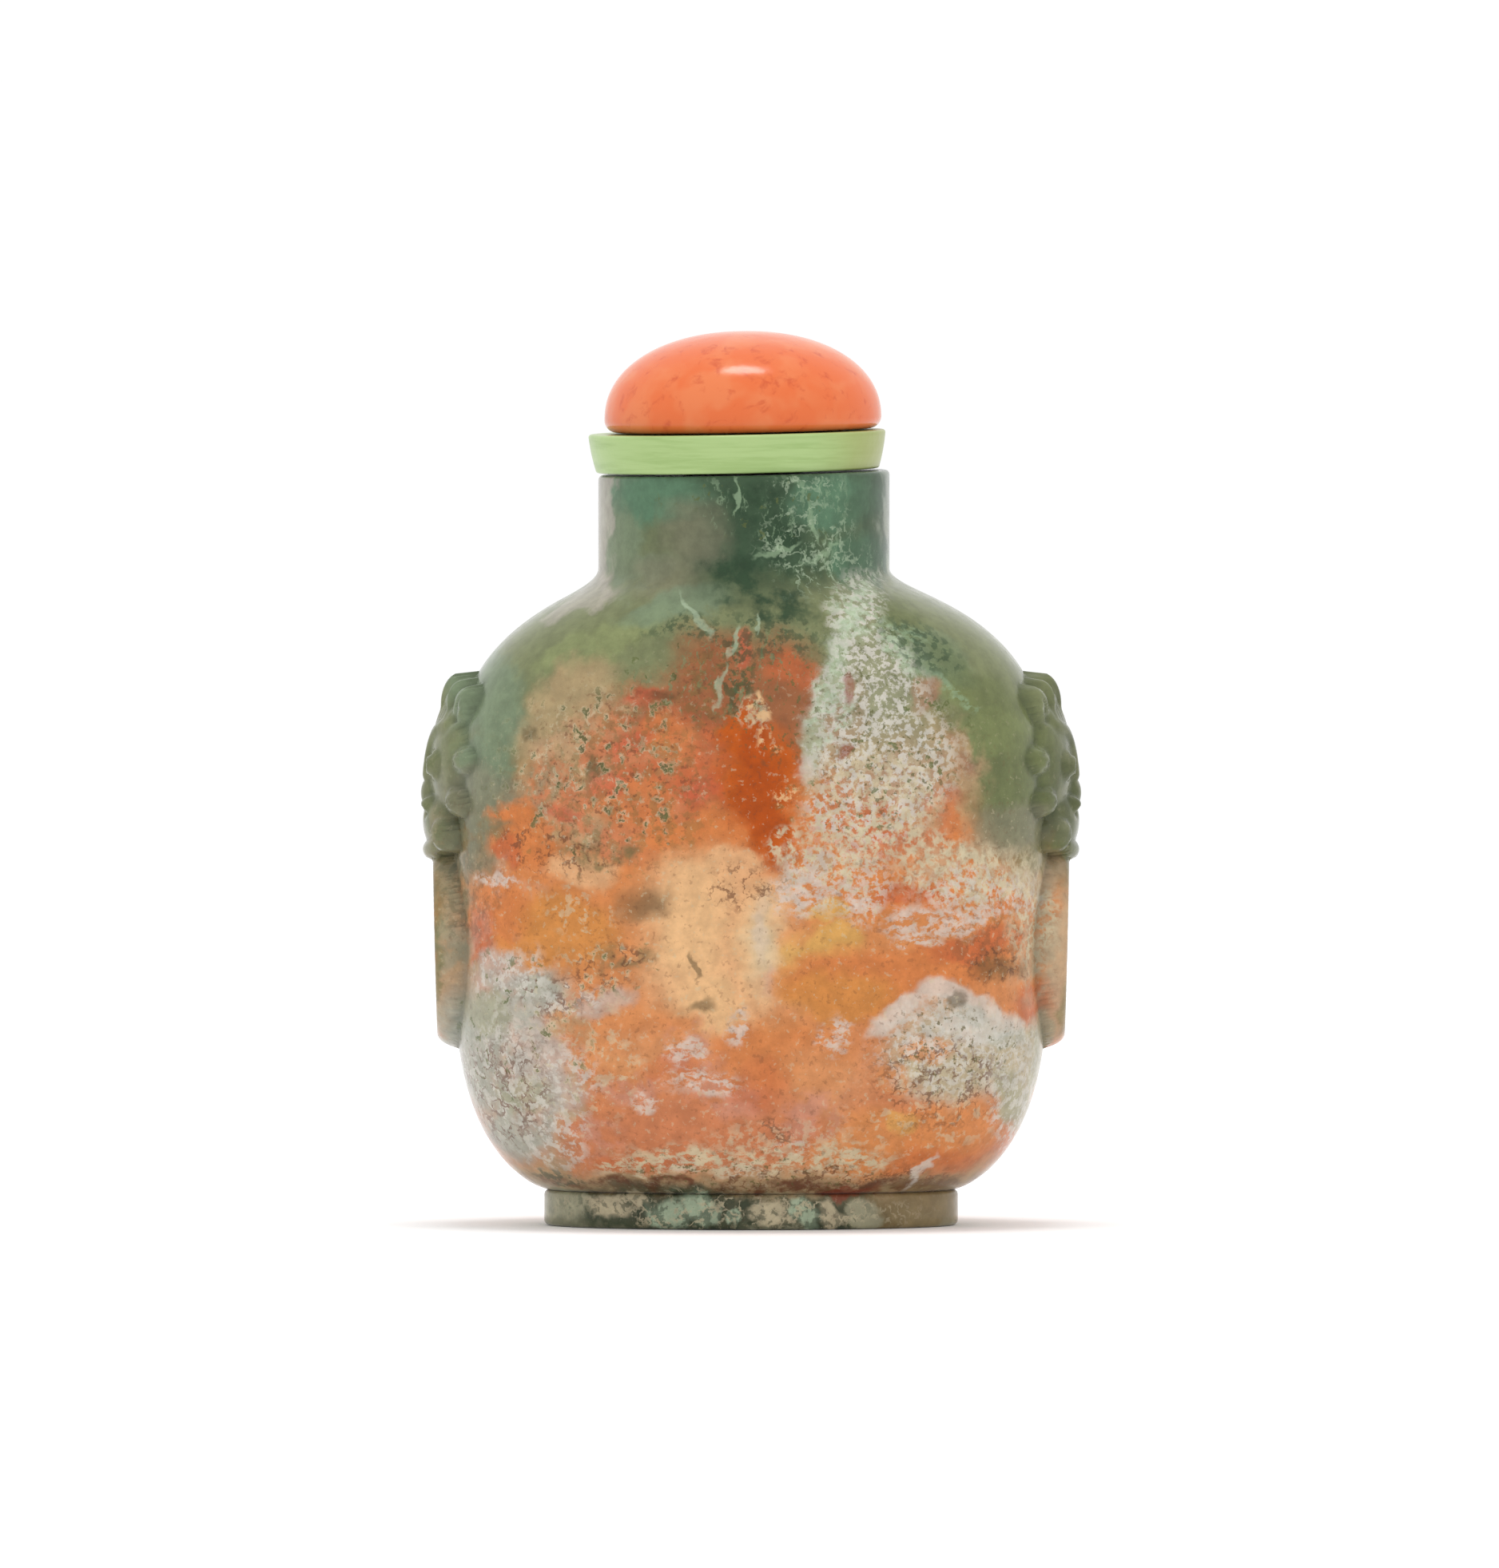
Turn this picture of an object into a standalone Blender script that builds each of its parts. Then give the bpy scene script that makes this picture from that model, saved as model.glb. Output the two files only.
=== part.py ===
"""A hollow agate snuff bottle with mask-and-ring handles and a domed stopper, on an oval foot.

Metres, +Z up. The origin is the middle of the foot's underside. X runs across the broad
faces and Y from the front face to the back one.
"""

import math
from collections import namedtuple

import bmesh
import bpy
from mathutils import Matrix, Vector

MM = 0.001

# Bottle, outside. Its height is the foot, the body and the neck one on the other
FOOT_HEIGHT = 2.5 * MM
BODY_HEIGHT = 42.5 * MM
NECK_HEIGHT = 7.75 * MM
FOOT_WIDTH = 29.0 * MM
FOOT_DEPTH = 17.4 * MM
BODY_WIDTH = 41.8 * MM
BODY_DEPTH = 27.0 * MM
NECK_DIAMETER = 20.4 * MM
NECK_SIDEWAYS = -0.5 * MM  # the neck stands a little to the left of the foot's middle
BODY_WIDEST_AT = 22.3 * MM  # above the foot
EDGE_ROUND = 0.35 * MM  # on the foot's and the lip's edges
NECK_FILLET = 0.8 * MM
LIP_SLOPE = math.radians(1.1)  # the lip rises a little to the right

# Bottle, inside and underneath
BORE_DIAMETER = 9.0 * MM
WALL_SIDE = 4.0 * MM
WALL_FACE = 2.7 * MM
FLOOR = 3.6 * MM
ROOF = 4.0 * MM  # from the neck's base down to the hollow
FOOT_RIM = 2.9 * MM
FOOT_RECESS = 1.0 * MM

# Curves of the body: how square each quarter of an outline is, as two exponents
WIDTH_BELOW = (4.0, 1.5)
WIDTH_ABOVE = (4.5, 1.1)
DEPTH_BELOW = (3.0, 1.6)
DEPTH_ABOVE = (3.0, 1.3)
HOLLOW_CURVE = (3.0, 1.8)
ROUND_SECTION = 2.0
BODY_SECTION = 2.6  # a superellipse's power: 2 is an ellipse, and more is squarer
NECK_BLEND = 4  # how late the shoulder moves sideways to meet the neck

# Handles: a beast mask above a ring, in relief on each narrow side
MASK_HEIGHT = 13.4 * MM
MASK_WIDTH = 14.4 * MM
MASK_RELIEF = 2.3 * MM
MASK_DROP = 6.2 * MM  # from the neck's base down to the mask's crest
RIDGE_RADIUS = 0.75 * MM  # of the brows and the lip
RING_HEIGHT = 14.4 * MM
RING_WIDTH = 12.0 * MM
RING_BAND = 2.3 * MM
RING_RELIEF = 1.3 * MM
RING_DEEP = 3.6 * MM  # the ring's thickness, most of it sunk in the wall
RING_BITE = 1.4 * MM  # how far the ring's top goes up into the mouth
RING_LEAN = math.radians(1.4)  # its foot is nearer the bottle than its top

# Stopper
COLLAR_HEIGHT = 2.7 * MM
COLLAR_INSET = 0.25 * MM  # its underside's edge, in from the neck's wall
COLLAR_FLARE = 0.45 * MM  # its top's edge, out from its underside's
COLLAR_SIDEWAYS = -0.44 * MM
COLLAR_ROUND = 0.2 * MM
COLLAR_BULGE = 0.62  # how much of the flare is reached at half its height
DOME_HEIGHT = 6.95 * MM
DOME_INSET = 0.7 * MM  # its widest line, in from the collar's edge
DOME_SIDEWAYS = 0.44 * MM  # from the collar's middle
DOME_EDGE = 0.85 * MM  # height of the rounded edge under the dome's widest line
DOME_CURVE = 2.15
CORK_LENGTH = 6.4 * MM
CORK_TAPER = 0.4 * MM  # how much narrower its lower end is
CORK_CLEARANCE = 0.3 * MM
STOPPER_GAP = 0.15 * MM  # between the lip and the collar
SEAM_GAP = 0.1 * MM  # between the stopper's own pieces

# Facets
SECTION_POINTS = 48
BODY_RINGS = 9
HOLLOW_RINGS = 4
SMOOTH_ANGLE = math.radians(40)

SHOULDER = FOOT_HEIGHT + BODY_HEIGHT
BOTTLE_HEIGHT = SHOULDER + NECK_HEIGHT
COLLAR_FOOT_RADIUS = NECK_DIAMETER / 2 - COLLAR_INSET
COLLAR_TOP_RADIUS = COLLAR_FOOT_RADIUS + COLLAR_FLARE
DOME_RADIUS = COLLAR_TOP_RADIUS - DOME_INSET
CORK_RADIUS = BORE_DIAMETER / 2 - CORK_CLEARANCE

# One oval row of a loft. Its power is its squareness, and its slope lifts its right side
Row = namedtuple(
    "Row", "height half_width half_depth power sideways slope", defaults=(ROUND_SECTION, 0.0, 0.0)
)


def material(name, colour, roughness):
    """A Principled material of one colour."""
    made = bpy.data.materials.new(name)
    made.use_nodes = True
    shader = made.node_tree.nodes["Principled BSDF"]
    shader.inputs["Base Color"].default_value = (*colour, 1.0)
    shader.inputs["Roughness"].default_value = roughness
    shader.inputs["Metallic"].default_value = 0.0
    return made


def collection(name):
    made = bpy.data.collections.new(name)
    bpy.context.scene.collection.children.link(made)
    return made


def place(obj, home):
    """Links the object into one collection and no other."""
    for other in list(obj.users_collection):
        other.objects.unlink(obj)
    home.objects.link(obj)
    return obj


def shade_round(obj):
    obj.data.shade_smooth()
    obj.data.set_sharp_from_angle(angle=SMOOTH_ANGLE)


# Sections and outlines

def quarter(share, curve):
    """How much of the swell is left at this share of the way from the widest line to an end."""
    rise, fall = curve
    return (1 - min(1.0, share) ** rise) ** (1 / fall)


def between(low, high, share):
    return low + (high - low) * share


def body_section(height):
    """The body's outline at this height over the table."""
    widest = FOOT_HEIGHT + BODY_WIDEST_AT
    if height < widest:
        share = (widest - height) / BODY_WIDEST_AT
        swell = quarter(share, WIDTH_BELOW)
        end_width = FOOT_WIDTH / 2 - EDGE_ROUND
        end_depth = FOOT_DEPTH / 2 - EDGE_ROUND
        half_depth = between(end_depth, BODY_DEPTH / 2, quarter(share, DEPTH_BELOW))
        sideways = 0.0
    else:
        share = (height - widest) / (SHOULDER - widest)
        swell = quarter(share, WIDTH_ABOVE)
        end_width = end_depth = NECK_DIAMETER / 2 + NECK_FILLET / 4
        half_depth = between(end_depth, BODY_DEPTH / 2, quarter(share, DEPTH_ABOVE))
        sideways = NECK_SIDEWAYS * (1 - swell) ** NECK_BLEND
    half_width = between(end_width, BODY_WIDTH / 2, swell)
    power = between(ROUND_SECTION, BODY_SECTION, swell)
    return Row(height, half_width, half_depth, power, sideways)


def body_side(height):
    """X of the body's right side at this height, midway between its faces."""
    row = body_section(height)
    return row.sideways + row.half_width


def section_ring(bm, row):
    """The vertices of one row."""
    ring = []
    for step in range(SECTION_POINTS):
        angle = 2 * math.pi * step / SECTION_POINTS
        cosine, sine = math.cos(angle), math.sin(angle)
        x = row.half_width * math.copysign(abs(cosine) ** (2 / row.power), cosine)
        y = row.half_depth * math.copysign(abs(sine) ** (2 / row.power), sine)
        ring.append(bm.verts.new((row.sideways + x, y, row.height + x * math.tan(row.slope))))
    return ring


# Bottle

def foot_rows():
    """The foot from its hollowed middle out over the rim it stands on and up to the body."""
    half_width, half_depth = FOOT_WIDTH / 2, FOOT_DEPTH / 2
    inset = FOOT_RIM + EDGE_ROUND
    return [
        Row(FOOT_RECESS, half_width - inset, half_depth - inset),
        Row(0.0, half_width - FOOT_RIM, half_depth - FOOT_RIM),
        Row(0.0, half_width - EDGE_ROUND, half_depth - EDGE_ROUND),
        Row(EDGE_ROUND, half_width, half_depth),
        Row(FOOT_HEIGHT - EDGE_ROUND, half_width, half_depth),
    ]


def body_rows():
    """The body from the foot to the neck's base, with its rows closest where it curves most."""
    widest = FOOT_HEIGHT + BODY_WIDEST_AT
    heights = []
    for step in range(BODY_RINGS + 1):
        share = math.cos(math.pi / 2 * step / BODY_RINGS)
        heights.append(widest - BODY_WIDEST_AT * share)
    for step in range(1, BODY_RINGS + 1):
        share = math.sin(math.pi / 2 * step / BODY_RINGS)
        heights.append(widest + (SHOULDER - widest) * share)
    return [body_section(height) for height in heights]


def neck_row(height, radius, slope=0.0):
    return Row(height, radius, radius, ROUND_SECTION, NECK_SIDEWAYS, slope)


def neck_rows():
    """The neck's wall, the lip, and the bore down to the hollow."""
    wall, bore = NECK_DIAMETER / 2, BORE_DIAMETER / 2
    return [
        neck_row(SHOULDER + NECK_FILLET, wall),
        neck_row(BOTTLE_HEIGHT - EDGE_ROUND, wall, LIP_SLOPE),
        neck_row(BOTTLE_HEIGHT, wall - EDGE_ROUND, LIP_SLOPE),
        neck_row(BOTTLE_HEIGHT, bore + EDGE_ROUND, LIP_SLOPE),
        neck_row(BOTTLE_HEIGHT - EDGE_ROUND, bore, LIP_SLOPE),
        neck_row(SHOULDER - ROOF, bore),
    ]


def hollow_rows():
    """The hollow from under the neck down to its floor."""
    top, bottom = SHOULDER - ROOF, FOOT_HEIGHT + FLOOR
    middle, half_height = (top + bottom) / 2, (top - bottom) / 2
    bore = BORE_DIAMETER / 2
    rows = []
    for step in range(1, 2 * HOLLOW_RINGS + 1):
        share = math.cos(math.pi / 2 * step / HOLLOW_RINGS)
        swell = quarter(abs(share), HOLLOW_CURVE)
        half_width = between(bore, BODY_WIDTH / 2 - WALL_SIDE, swell)
        half_depth = between(bore, BODY_DEPTH / 2 - WALL_FACE, swell)
        power = between(ROUND_SECTION, BODY_SECTION, swell)
        sideways = NECK_SIDEWAYS * max(0.0, share)
        rows.append(Row(middle + half_height * share, half_width, half_depth, power, sideways))
    return rows


def bottle_body(home, stone):
    """One loft from the hollow under the foot, up the outside, over the lip and down the inside."""
    bm = bmesh.new()
    rings = [section_ring(bm, row) for row in foot_rows() + body_rows() + neck_rows() + hollow_rows()]
    for lower, upper in zip(rings, rings[1:]):
        for step in range(SECTION_POINTS):
            after = (step + 1) % SECTION_POINTS
            bm.faces.new((lower[step], lower[after], upper[after], upper[step]))
    bm.faces.new(reversed(rings[0]))
    bm.faces.new(rings[-1])
    mesh = bpy.data.meshes.new("bottle")
    bm.to_mesh(mesh)
    bm.free()
    obj = bpy.data.objects.new("bottle", mesh)
    obj.data.materials.append(stone)
    home.objects.link(obj)
    return obj


# Handles. A mask's forms are shares of its own half width, half height and relief

MASK_MIDDLE = SHOULDER - MASK_DROP - MASK_HEIGHT / 2
CROWN_UP = -0.4  # where the mask stands furthest out
CROWN_FALL = 0.8
CROWN_CURVE = 2.2
CHEEK_FALL = 1.55


def face_height(across, up):
    """How far the mask's face stands out here, as a share of its relief."""
    crown = 1 - CROWN_FALL * (abs(up - CROWN_UP) / (1 - CROWN_UP)) ** CROWN_CURVE
    return crown - CHEEK_FALL * across ** 2


def mask_point(across, up, proud):
    """A point of the mask on the right side, from its three shares."""
    return Vector((
        body_side(MASK_MIDDLE) + proud * MASK_RELIEF,
        across * MASK_WIDTH / 2,
        MASK_MIDDLE + up * MASK_HEIGHT / 2,
    ))


def knob(home, name, place_at, size, stand=0.1, thick=0.6, lean=0.0, facets=(9, 6)):
    """A round form of the mask, whose top stands this far out of the face.

    Its place is (across, up) and its size is (half width, half height). It leans about X.
    """
    across, up = place_at
    wide, tall = size
    radii = (thick * MASK_RELIEF, wide * MASK_WIDTH / 2, tall * MASK_HEIGHT / 2)
    bm = bmesh.new()
    bmesh.ops.create_uvsphere(bm, u_segments=facets[0], v_segments=facets[1], radius=1.0)
    bmesh.ops.rotate(bm, matrix=Matrix.Rotation(math.pi / 2, 3, "Y"), verts=bm.verts)
    bmesh.ops.scale(bm, vec=radii, verts=bm.verts)
    bmesh.ops.rotate(bm, matrix=Matrix.Rotation(lean, 3, "X"), verts=bm.verts)
    middle = mask_point(across, up, face_height(across, up) + stand - thick)
    bmesh.ops.translate(bm, vec=middle, verts=bm.verts)
    mesh = bpy.data.meshes.new(name)
    bm.to_mesh(mesh)
    bm.free()
    obj = bpy.data.objects.new(name, mesh)
    home.objects.link(obj)
    return obj


def ridge(home, name, points):
    """A round ridge along the points, each with its share of the full radius."""
    curve = bpy.data.curves.new(name, "CURVE")
    curve.dimensions = "3D"
    curve.bevel_depth = RIDGE_RADIUS
    curve.bevel_resolution = 1
    curve.use_fill_caps = True
    spline = curve.splines.new("POLY")
    spline.points.add(len(points) - 1)
    for point, (place_at, share) in zip(spline.points, points):
        point.co = (*place_at, 1.0)
        point.radius = share
    guide = bpy.data.objects.new(name + "_line", curve)
    home.objects.link(guide)
    graph = bpy.context.evaluated_depsgraph_get()
    mesh = bpy.data.meshes.new_from_object(guide.evaluated_get(graph))
    bpy.data.objects.remove(guide)
    bm = bmesh.new()
    bm.from_mesh(mesh)
    bmesh.ops.remove_doubles(bm, verts=bm.verts, dist=RIDGE_RADIUS / 100)
    bmesh.ops.recalc_face_normals(bm, faces=bm.faces)
    bm.to_mesh(mesh)
    bm.free()
    obj = bpy.data.objects.new(name, mesh)
    home.objects.link(obj)
    return obj


def brow_points(hand):
    """A brow from the nose's bridge over the eye, ending in a curl beside it."""
    points = []
    steps = 9
    first_degrees = 205
    last_degrees = -110
    for step in range(steps):
        share = step / (steps - 1)
        angle = math.radians(between(first_degrees, last_degrees, share))
        reach = between(0.36, 0.17, share ** 1.5)
        across = between(0.40, 0.62, share) + reach * math.cos(angle)
        up = between(0.08, 0.16, share) + reach * math.sin(angle)
        spot = mask_point(hand * across, up, face_height(across, up) - 0.32)
        points.append((spot, between(1.0, 0.65, share)))
    return points


def lip_points():
    """The upper lip, sagging between the corners of the mouth."""
    points = []
    steps = 9
    corner = 0.62
    for step in range(steps):
        across = between(-corner, corner, step / (steps - 1))
        bend = 1 - (across / corner) ** 2
        up = -0.70 - 0.16 * bend
        spot = mask_point(across, up, face_height(across, up) - 0.3)
        points.append((spot, between(0.6, 1.0, bend)))
    return points


def mask_forms(home):
    """The carved forms of one beast mask, on the right side."""
    forms = [
        knob(home, "skull", (0, 0), (0.92, 0.96), stand=-0.2, thick=1.5, facets=(18, 8)),
        knob(home, "muzzle", (0, -0.56), (0.62, 0.42), stand=-0.04, thick=0.95, facets=(14, 6)),
        knob(home, "nose", (0, -0.27), (0.23, 0.24), stand=0.02),
        knob(home, "crest", (0, 0.66), (0.19, 0.33), stand=-0.1),
        ridge(home, "lip", lip_points()),
    ]
    for hand in (-1, 1):
        side = "left" if hand < 0 else "right"
        forms += [
            knob(home, f"nostril_{side}", (hand * 0.22, -0.40), (0.14, 0.13), facets=(8, 5)),
            knob(home, f"eye_{side}", (hand * 0.40, 0.03), (0.18, 0.18), stand=0.22),
            knob(home, f"lock_{side}", (hand * 0.34, 0.68), (0.15, 0.28), stand=-0.03, lean=hand * -0.3),
            knob(home, f"ear_{side}", (hand * 0.68, 0.58), (0.18, 0.32), stand=0.25, lean=hand * -0.6),
            ridge(home, f"brow_{side}", brow_points(hand)),
        ]
        forms += mane(home, side, hand)
    return forms


def mane(home, side, hand):
    """Three locks down one cheek, each pointing out from the mask's middle."""
    forms = []
    locks = 3
    top_degrees = 4
    bottom_degrees = -48
    for number in range(locks):
        angle = math.radians(between(top_degrees, bottom_degrees, number / (locks - 1)))
        spot = (hand * 0.85 * math.cos(angle), 0.02 + 0.94 * math.sin(angle))
        name = f"mane_{side}_{number}"
        forms.append(knob(home, name, spot, (0.22, 0.16), stand=0.35, lean=hand * angle * 1.1))
    return forms


def ring_form(home):
    """The ring that hangs from the mouth, an oval band with a rounded face, sunk in the wall."""
    top = MASK_MIDDLE - MASK_HEIGHT / 2 + RING_BITE
    middle = top - RING_HEIGHT / 2
    face = body_side(middle) + RING_RELIEF
    long_radius = (RING_HEIGHT - RING_BAND) / 2
    short_radius = (RING_WIDTH - RING_BAND) / 2
    bpy.ops.mesh.primitive_torus_add(
        major_radius=long_radius, minor_radius=RING_BAND / 2, major_segments=28, minor_segments=8,
    )
    obj = place(bpy.context.object, home)
    obj.name = "ring"
    squeeze = Matrix.Diagonal((1.0, short_radius / long_radius, RING_DEEP / RING_BAND, 1.0))
    stand = Matrix.Rotation(math.pi / 2 + RING_LEAN, 4, "Y")
    move = Matrix.Translation((face - RING_DEEP / 2, 0.0, middle))
    obj.data.transform(move @ stand @ squeeze)
    return obj


def turned_copy(form, home):
    """The same form on the left side, turned half round the foot's middle."""
    mesh = form.data.copy()
    mesh.transform(Matrix.Rotation(math.pi, 4, "Z"))
    obj = bpy.data.objects.new(form.name + "_turned", mesh)
    home.objects.link(obj)
    return obj


def carve_handles(bottle, carving):
    """Both handles, made one stone with the bottle."""
    forms = mask_forms(carving) + [ring_form(carving)]
    forms += [turned_copy(form, carving) for form in forms]
    for form in forms:
        form.hide_render = True
        form.display_type = "WIRE"
    union = bottle.modifiers.new("handles", "BOOLEAN")
    union.operation = "UNION"
    union.solver = "EXACT"
    union.operand_type = "COLLECTION"
    union.collection = carving


# Stopper

def turned(name, profile, frame, home, finish):
    """A solid turned about Z from a profile of (radius, height), top to bottom."""
    mesh = bpy.data.meshes.new(name)
    points = [(radius, 0.0, height) for radius, height in profile]
    mesh.from_pydata(points, [(i, i + 1) for i in range(len(points) - 1)], [])
    obj = bpy.data.objects.new(name, mesh)
    screw = obj.modifiers.new("turn", "SCREW")
    screw.axis = "Z"
    screw.steps = screw.render_steps = SECTION_POINTS
    screw.use_merge_vertices = True
    screw.merge_threshold = 0.00001
    screw.use_smooth_shade = True
    obj.data.materials.append(finish)
    home.objects.link(obj)
    obj.parent = frame
    return obj


def collar_profile():
    """A thin disc that widens upwards, with soft edges."""
    top, foot, soft = COLLAR_TOP_RADIUS, COLLAR_FOOT_RADIUS, COLLAR_ROUND
    return [
        (0.0, COLLAR_HEIGHT), (top - soft, COLLAR_HEIGHT), (top, COLLAR_HEIGHT - soft),
        (between(foot, top, COLLAR_BULGE), COLLAR_HEIGHT / 2),
        (foot, soft), (foot - soft, 0.0), (0.0, 0.0),
    ]


def dome_profile():
    """A flattened dome over a rounded lower edge."""
    rise = DOME_HEIGHT - DOME_EDGE
    points = []
    steps = 8
    for step in range(steps + 1):
        angle = math.pi / 2 * step / steps
        across = DOME_RADIUS * math.sin(angle) ** (2 / DOME_CURVE)
        points.append((across, DOME_EDGE + rise * abs(math.cos(angle)) ** (2 / DOME_CURVE)))
    for step in range(1, 4):
        angle = math.pi / 2 * step / 3
        across = DOME_RADIUS - DOME_EDGE * (1 - math.cos(angle))
        points.append((across, DOME_EDGE * (1 - math.sin(angle))))
    return points + [(0.0, 0.0)]


def cork_profile():
    foot_radius = CORK_RADIUS - CORK_TAPER / 2
    return [(0.0, 0.0), (CORK_RADIUS, 0.0), (foot_radius, -CORK_LENGTH), (0.0, -CORK_LENGTH)]


def stopper(home):
    """Collar, dome and cork on one frame, which stands on the lip and slopes with it."""
    frame = bpy.data.objects.new("stopper", None)
    frame.location = (NECK_SIDEWAYS, 0.0, BOTTLE_HEIGHT + STOPPER_GAP)
    frame.rotation_euler = (0.0, -LIP_SLOPE, 0.0)
    home.objects.link(frame)
    green = material("pale green stone", (0.36, 0.50, 0.19), 0.35)
    orange = material("orange stone", (0.84, 0.24, 0.07), 0.15)
    bark = material("cork", (0.45, 0.29, 0.15), 0.85)
    collar = turned("stopper_collar", collar_profile(), frame, home, green)
    collar.location.x = COLLAR_SIDEWAYS
    dome = turned("stopper_dome", dome_profile(), frame, home, orange)
    dome.location = (COLLAR_SIDEWAYS + DOME_SIDEWAYS, 0.0, COLLAR_HEIGHT + SEAM_GAP)
    cork = turned("stopper_cork", cork_profile(), frame, home, bark)
    cork.location.z = -SEAM_GAP


def main():
    for obj in list(bpy.data.objects):
        bpy.data.objects.remove(obj)
    parts = collection("snuff_bottle")
    carving = collection("carving")
    agate = material("moss agate", (0.45, 0.27, 0.13), 0.2)
    bottle = bottle_body(parts, agate)
    carve_handles(bottle, carving)
    shade_round(bottle)
    stopper(parts)


main()
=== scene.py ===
"""Looks of the snuff bottle: carved moss agate, with a green collar and an orange domed stopper."""

import logging
import math
from dataclasses import dataclass
from enum import Enum
from typing import Iterable, Sequence

import bmesh
import bpy
import numpy as np
from mathutils import Matrix, Vector


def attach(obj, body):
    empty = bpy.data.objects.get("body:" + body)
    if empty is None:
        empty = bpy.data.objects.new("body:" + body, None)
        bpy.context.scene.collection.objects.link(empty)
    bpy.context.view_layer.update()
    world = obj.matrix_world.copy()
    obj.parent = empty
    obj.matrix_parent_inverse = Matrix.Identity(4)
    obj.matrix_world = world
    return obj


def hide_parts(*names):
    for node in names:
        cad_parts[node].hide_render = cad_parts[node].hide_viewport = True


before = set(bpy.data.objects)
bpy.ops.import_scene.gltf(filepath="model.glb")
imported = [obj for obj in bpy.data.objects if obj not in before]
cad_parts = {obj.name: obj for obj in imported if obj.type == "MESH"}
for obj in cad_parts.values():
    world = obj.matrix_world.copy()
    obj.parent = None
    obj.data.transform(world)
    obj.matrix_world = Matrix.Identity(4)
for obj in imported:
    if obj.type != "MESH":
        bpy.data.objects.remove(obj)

LOG = logging.getLogger("snuff_bottle")
MM = 0.001
ROOT = "root"
RECESS = "recess"  # the mesh attribute that says how deep a point lies in the carving, from 0 to 1
WELD = 1e-7  # points nearer than this, in metres, become one


# Small helpers

def between(low: float, high: float, share: float) -> float:
    """The value this share of the way from low to high."""
    return low + (high - low) * share


def arc(count: int) -> Iterable[tuple[float, float]]:
    """Sine and cosine at even steps through a quarter turn, both ends included."""
    for step in range(count + 1):
        angle = math.pi / 2 * step / count
        yield math.sin(angle), math.cos(angle)


def to_linear(text: str) -> tuple[float, float, float, float]:
    """A #rrggbb colour as Blender's sockets take it."""
    parts = [int(text[start:start + 2], 16) / 255 for start in (1, 3, 5)]
    bent = [part / 12.92 if part <= 0.04045 else ((part + 0.055) / 1.055) ** 2.4 for part in parts]
    return (*bent, 1.0)


def melt(low: np.ndarray, high: np.ndarray, radius: float) -> np.ndarray:
    """The upper of two height fields, with a soft valley where they meet.

    Args:
        low: One field.
        high: The other field, minus infinity where it has no surface.
        radius: How near in height they start to run together.

    Returns:
        The joined field.
    """
    near = np.clip(1 - np.abs(high - low) / radius, 0, 1)
    return np.maximum(low, high) + near ** 2 * radius / 4


def new_object(name: str, bm: bmesh.types.BMesh, smooth_angle: float) -> bpy.types.Object:
    """Makes an object of a finished bmesh and frees the bmesh.

    Args:
        name: The object's name.
        bm: The shape, already in its place in the frame.
        smooth_angle: Edges sharper than this, in radians, stay sharp.

    Returns:
        The linked object.
    """
    mesh = bpy.data.meshes.new(name)
    bm.to_mesh(mesh)
    bm.free()
    mesh.shade_smooth()
    mesh.set_sharp_from_angle(angle=smooth_angle)
    obj = bpy.data.objects.new(name, mesh)
    bpy.context.scene.collection.objects.link(obj)
    LOG.info("%s: %d faces", name, len(mesh.polygons))
    return obj


def dress(obj: bpy.types.Object, finish: bpy.types.Material, node: str) -> None:
    """Gives a piece its finish and its slot, and puts it in its CAD node's stead."""
    obj.data.materials.append(finish)
    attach(obj, ROOT)
    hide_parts(node)


# Materials: the node graph

Value = float | tuple | bpy.types.NodeSocket
MIX_FACTOR, MIX_FIRST, MIX_SECOND, MIX_RESULT = 0, 6, 7, 2


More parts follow.
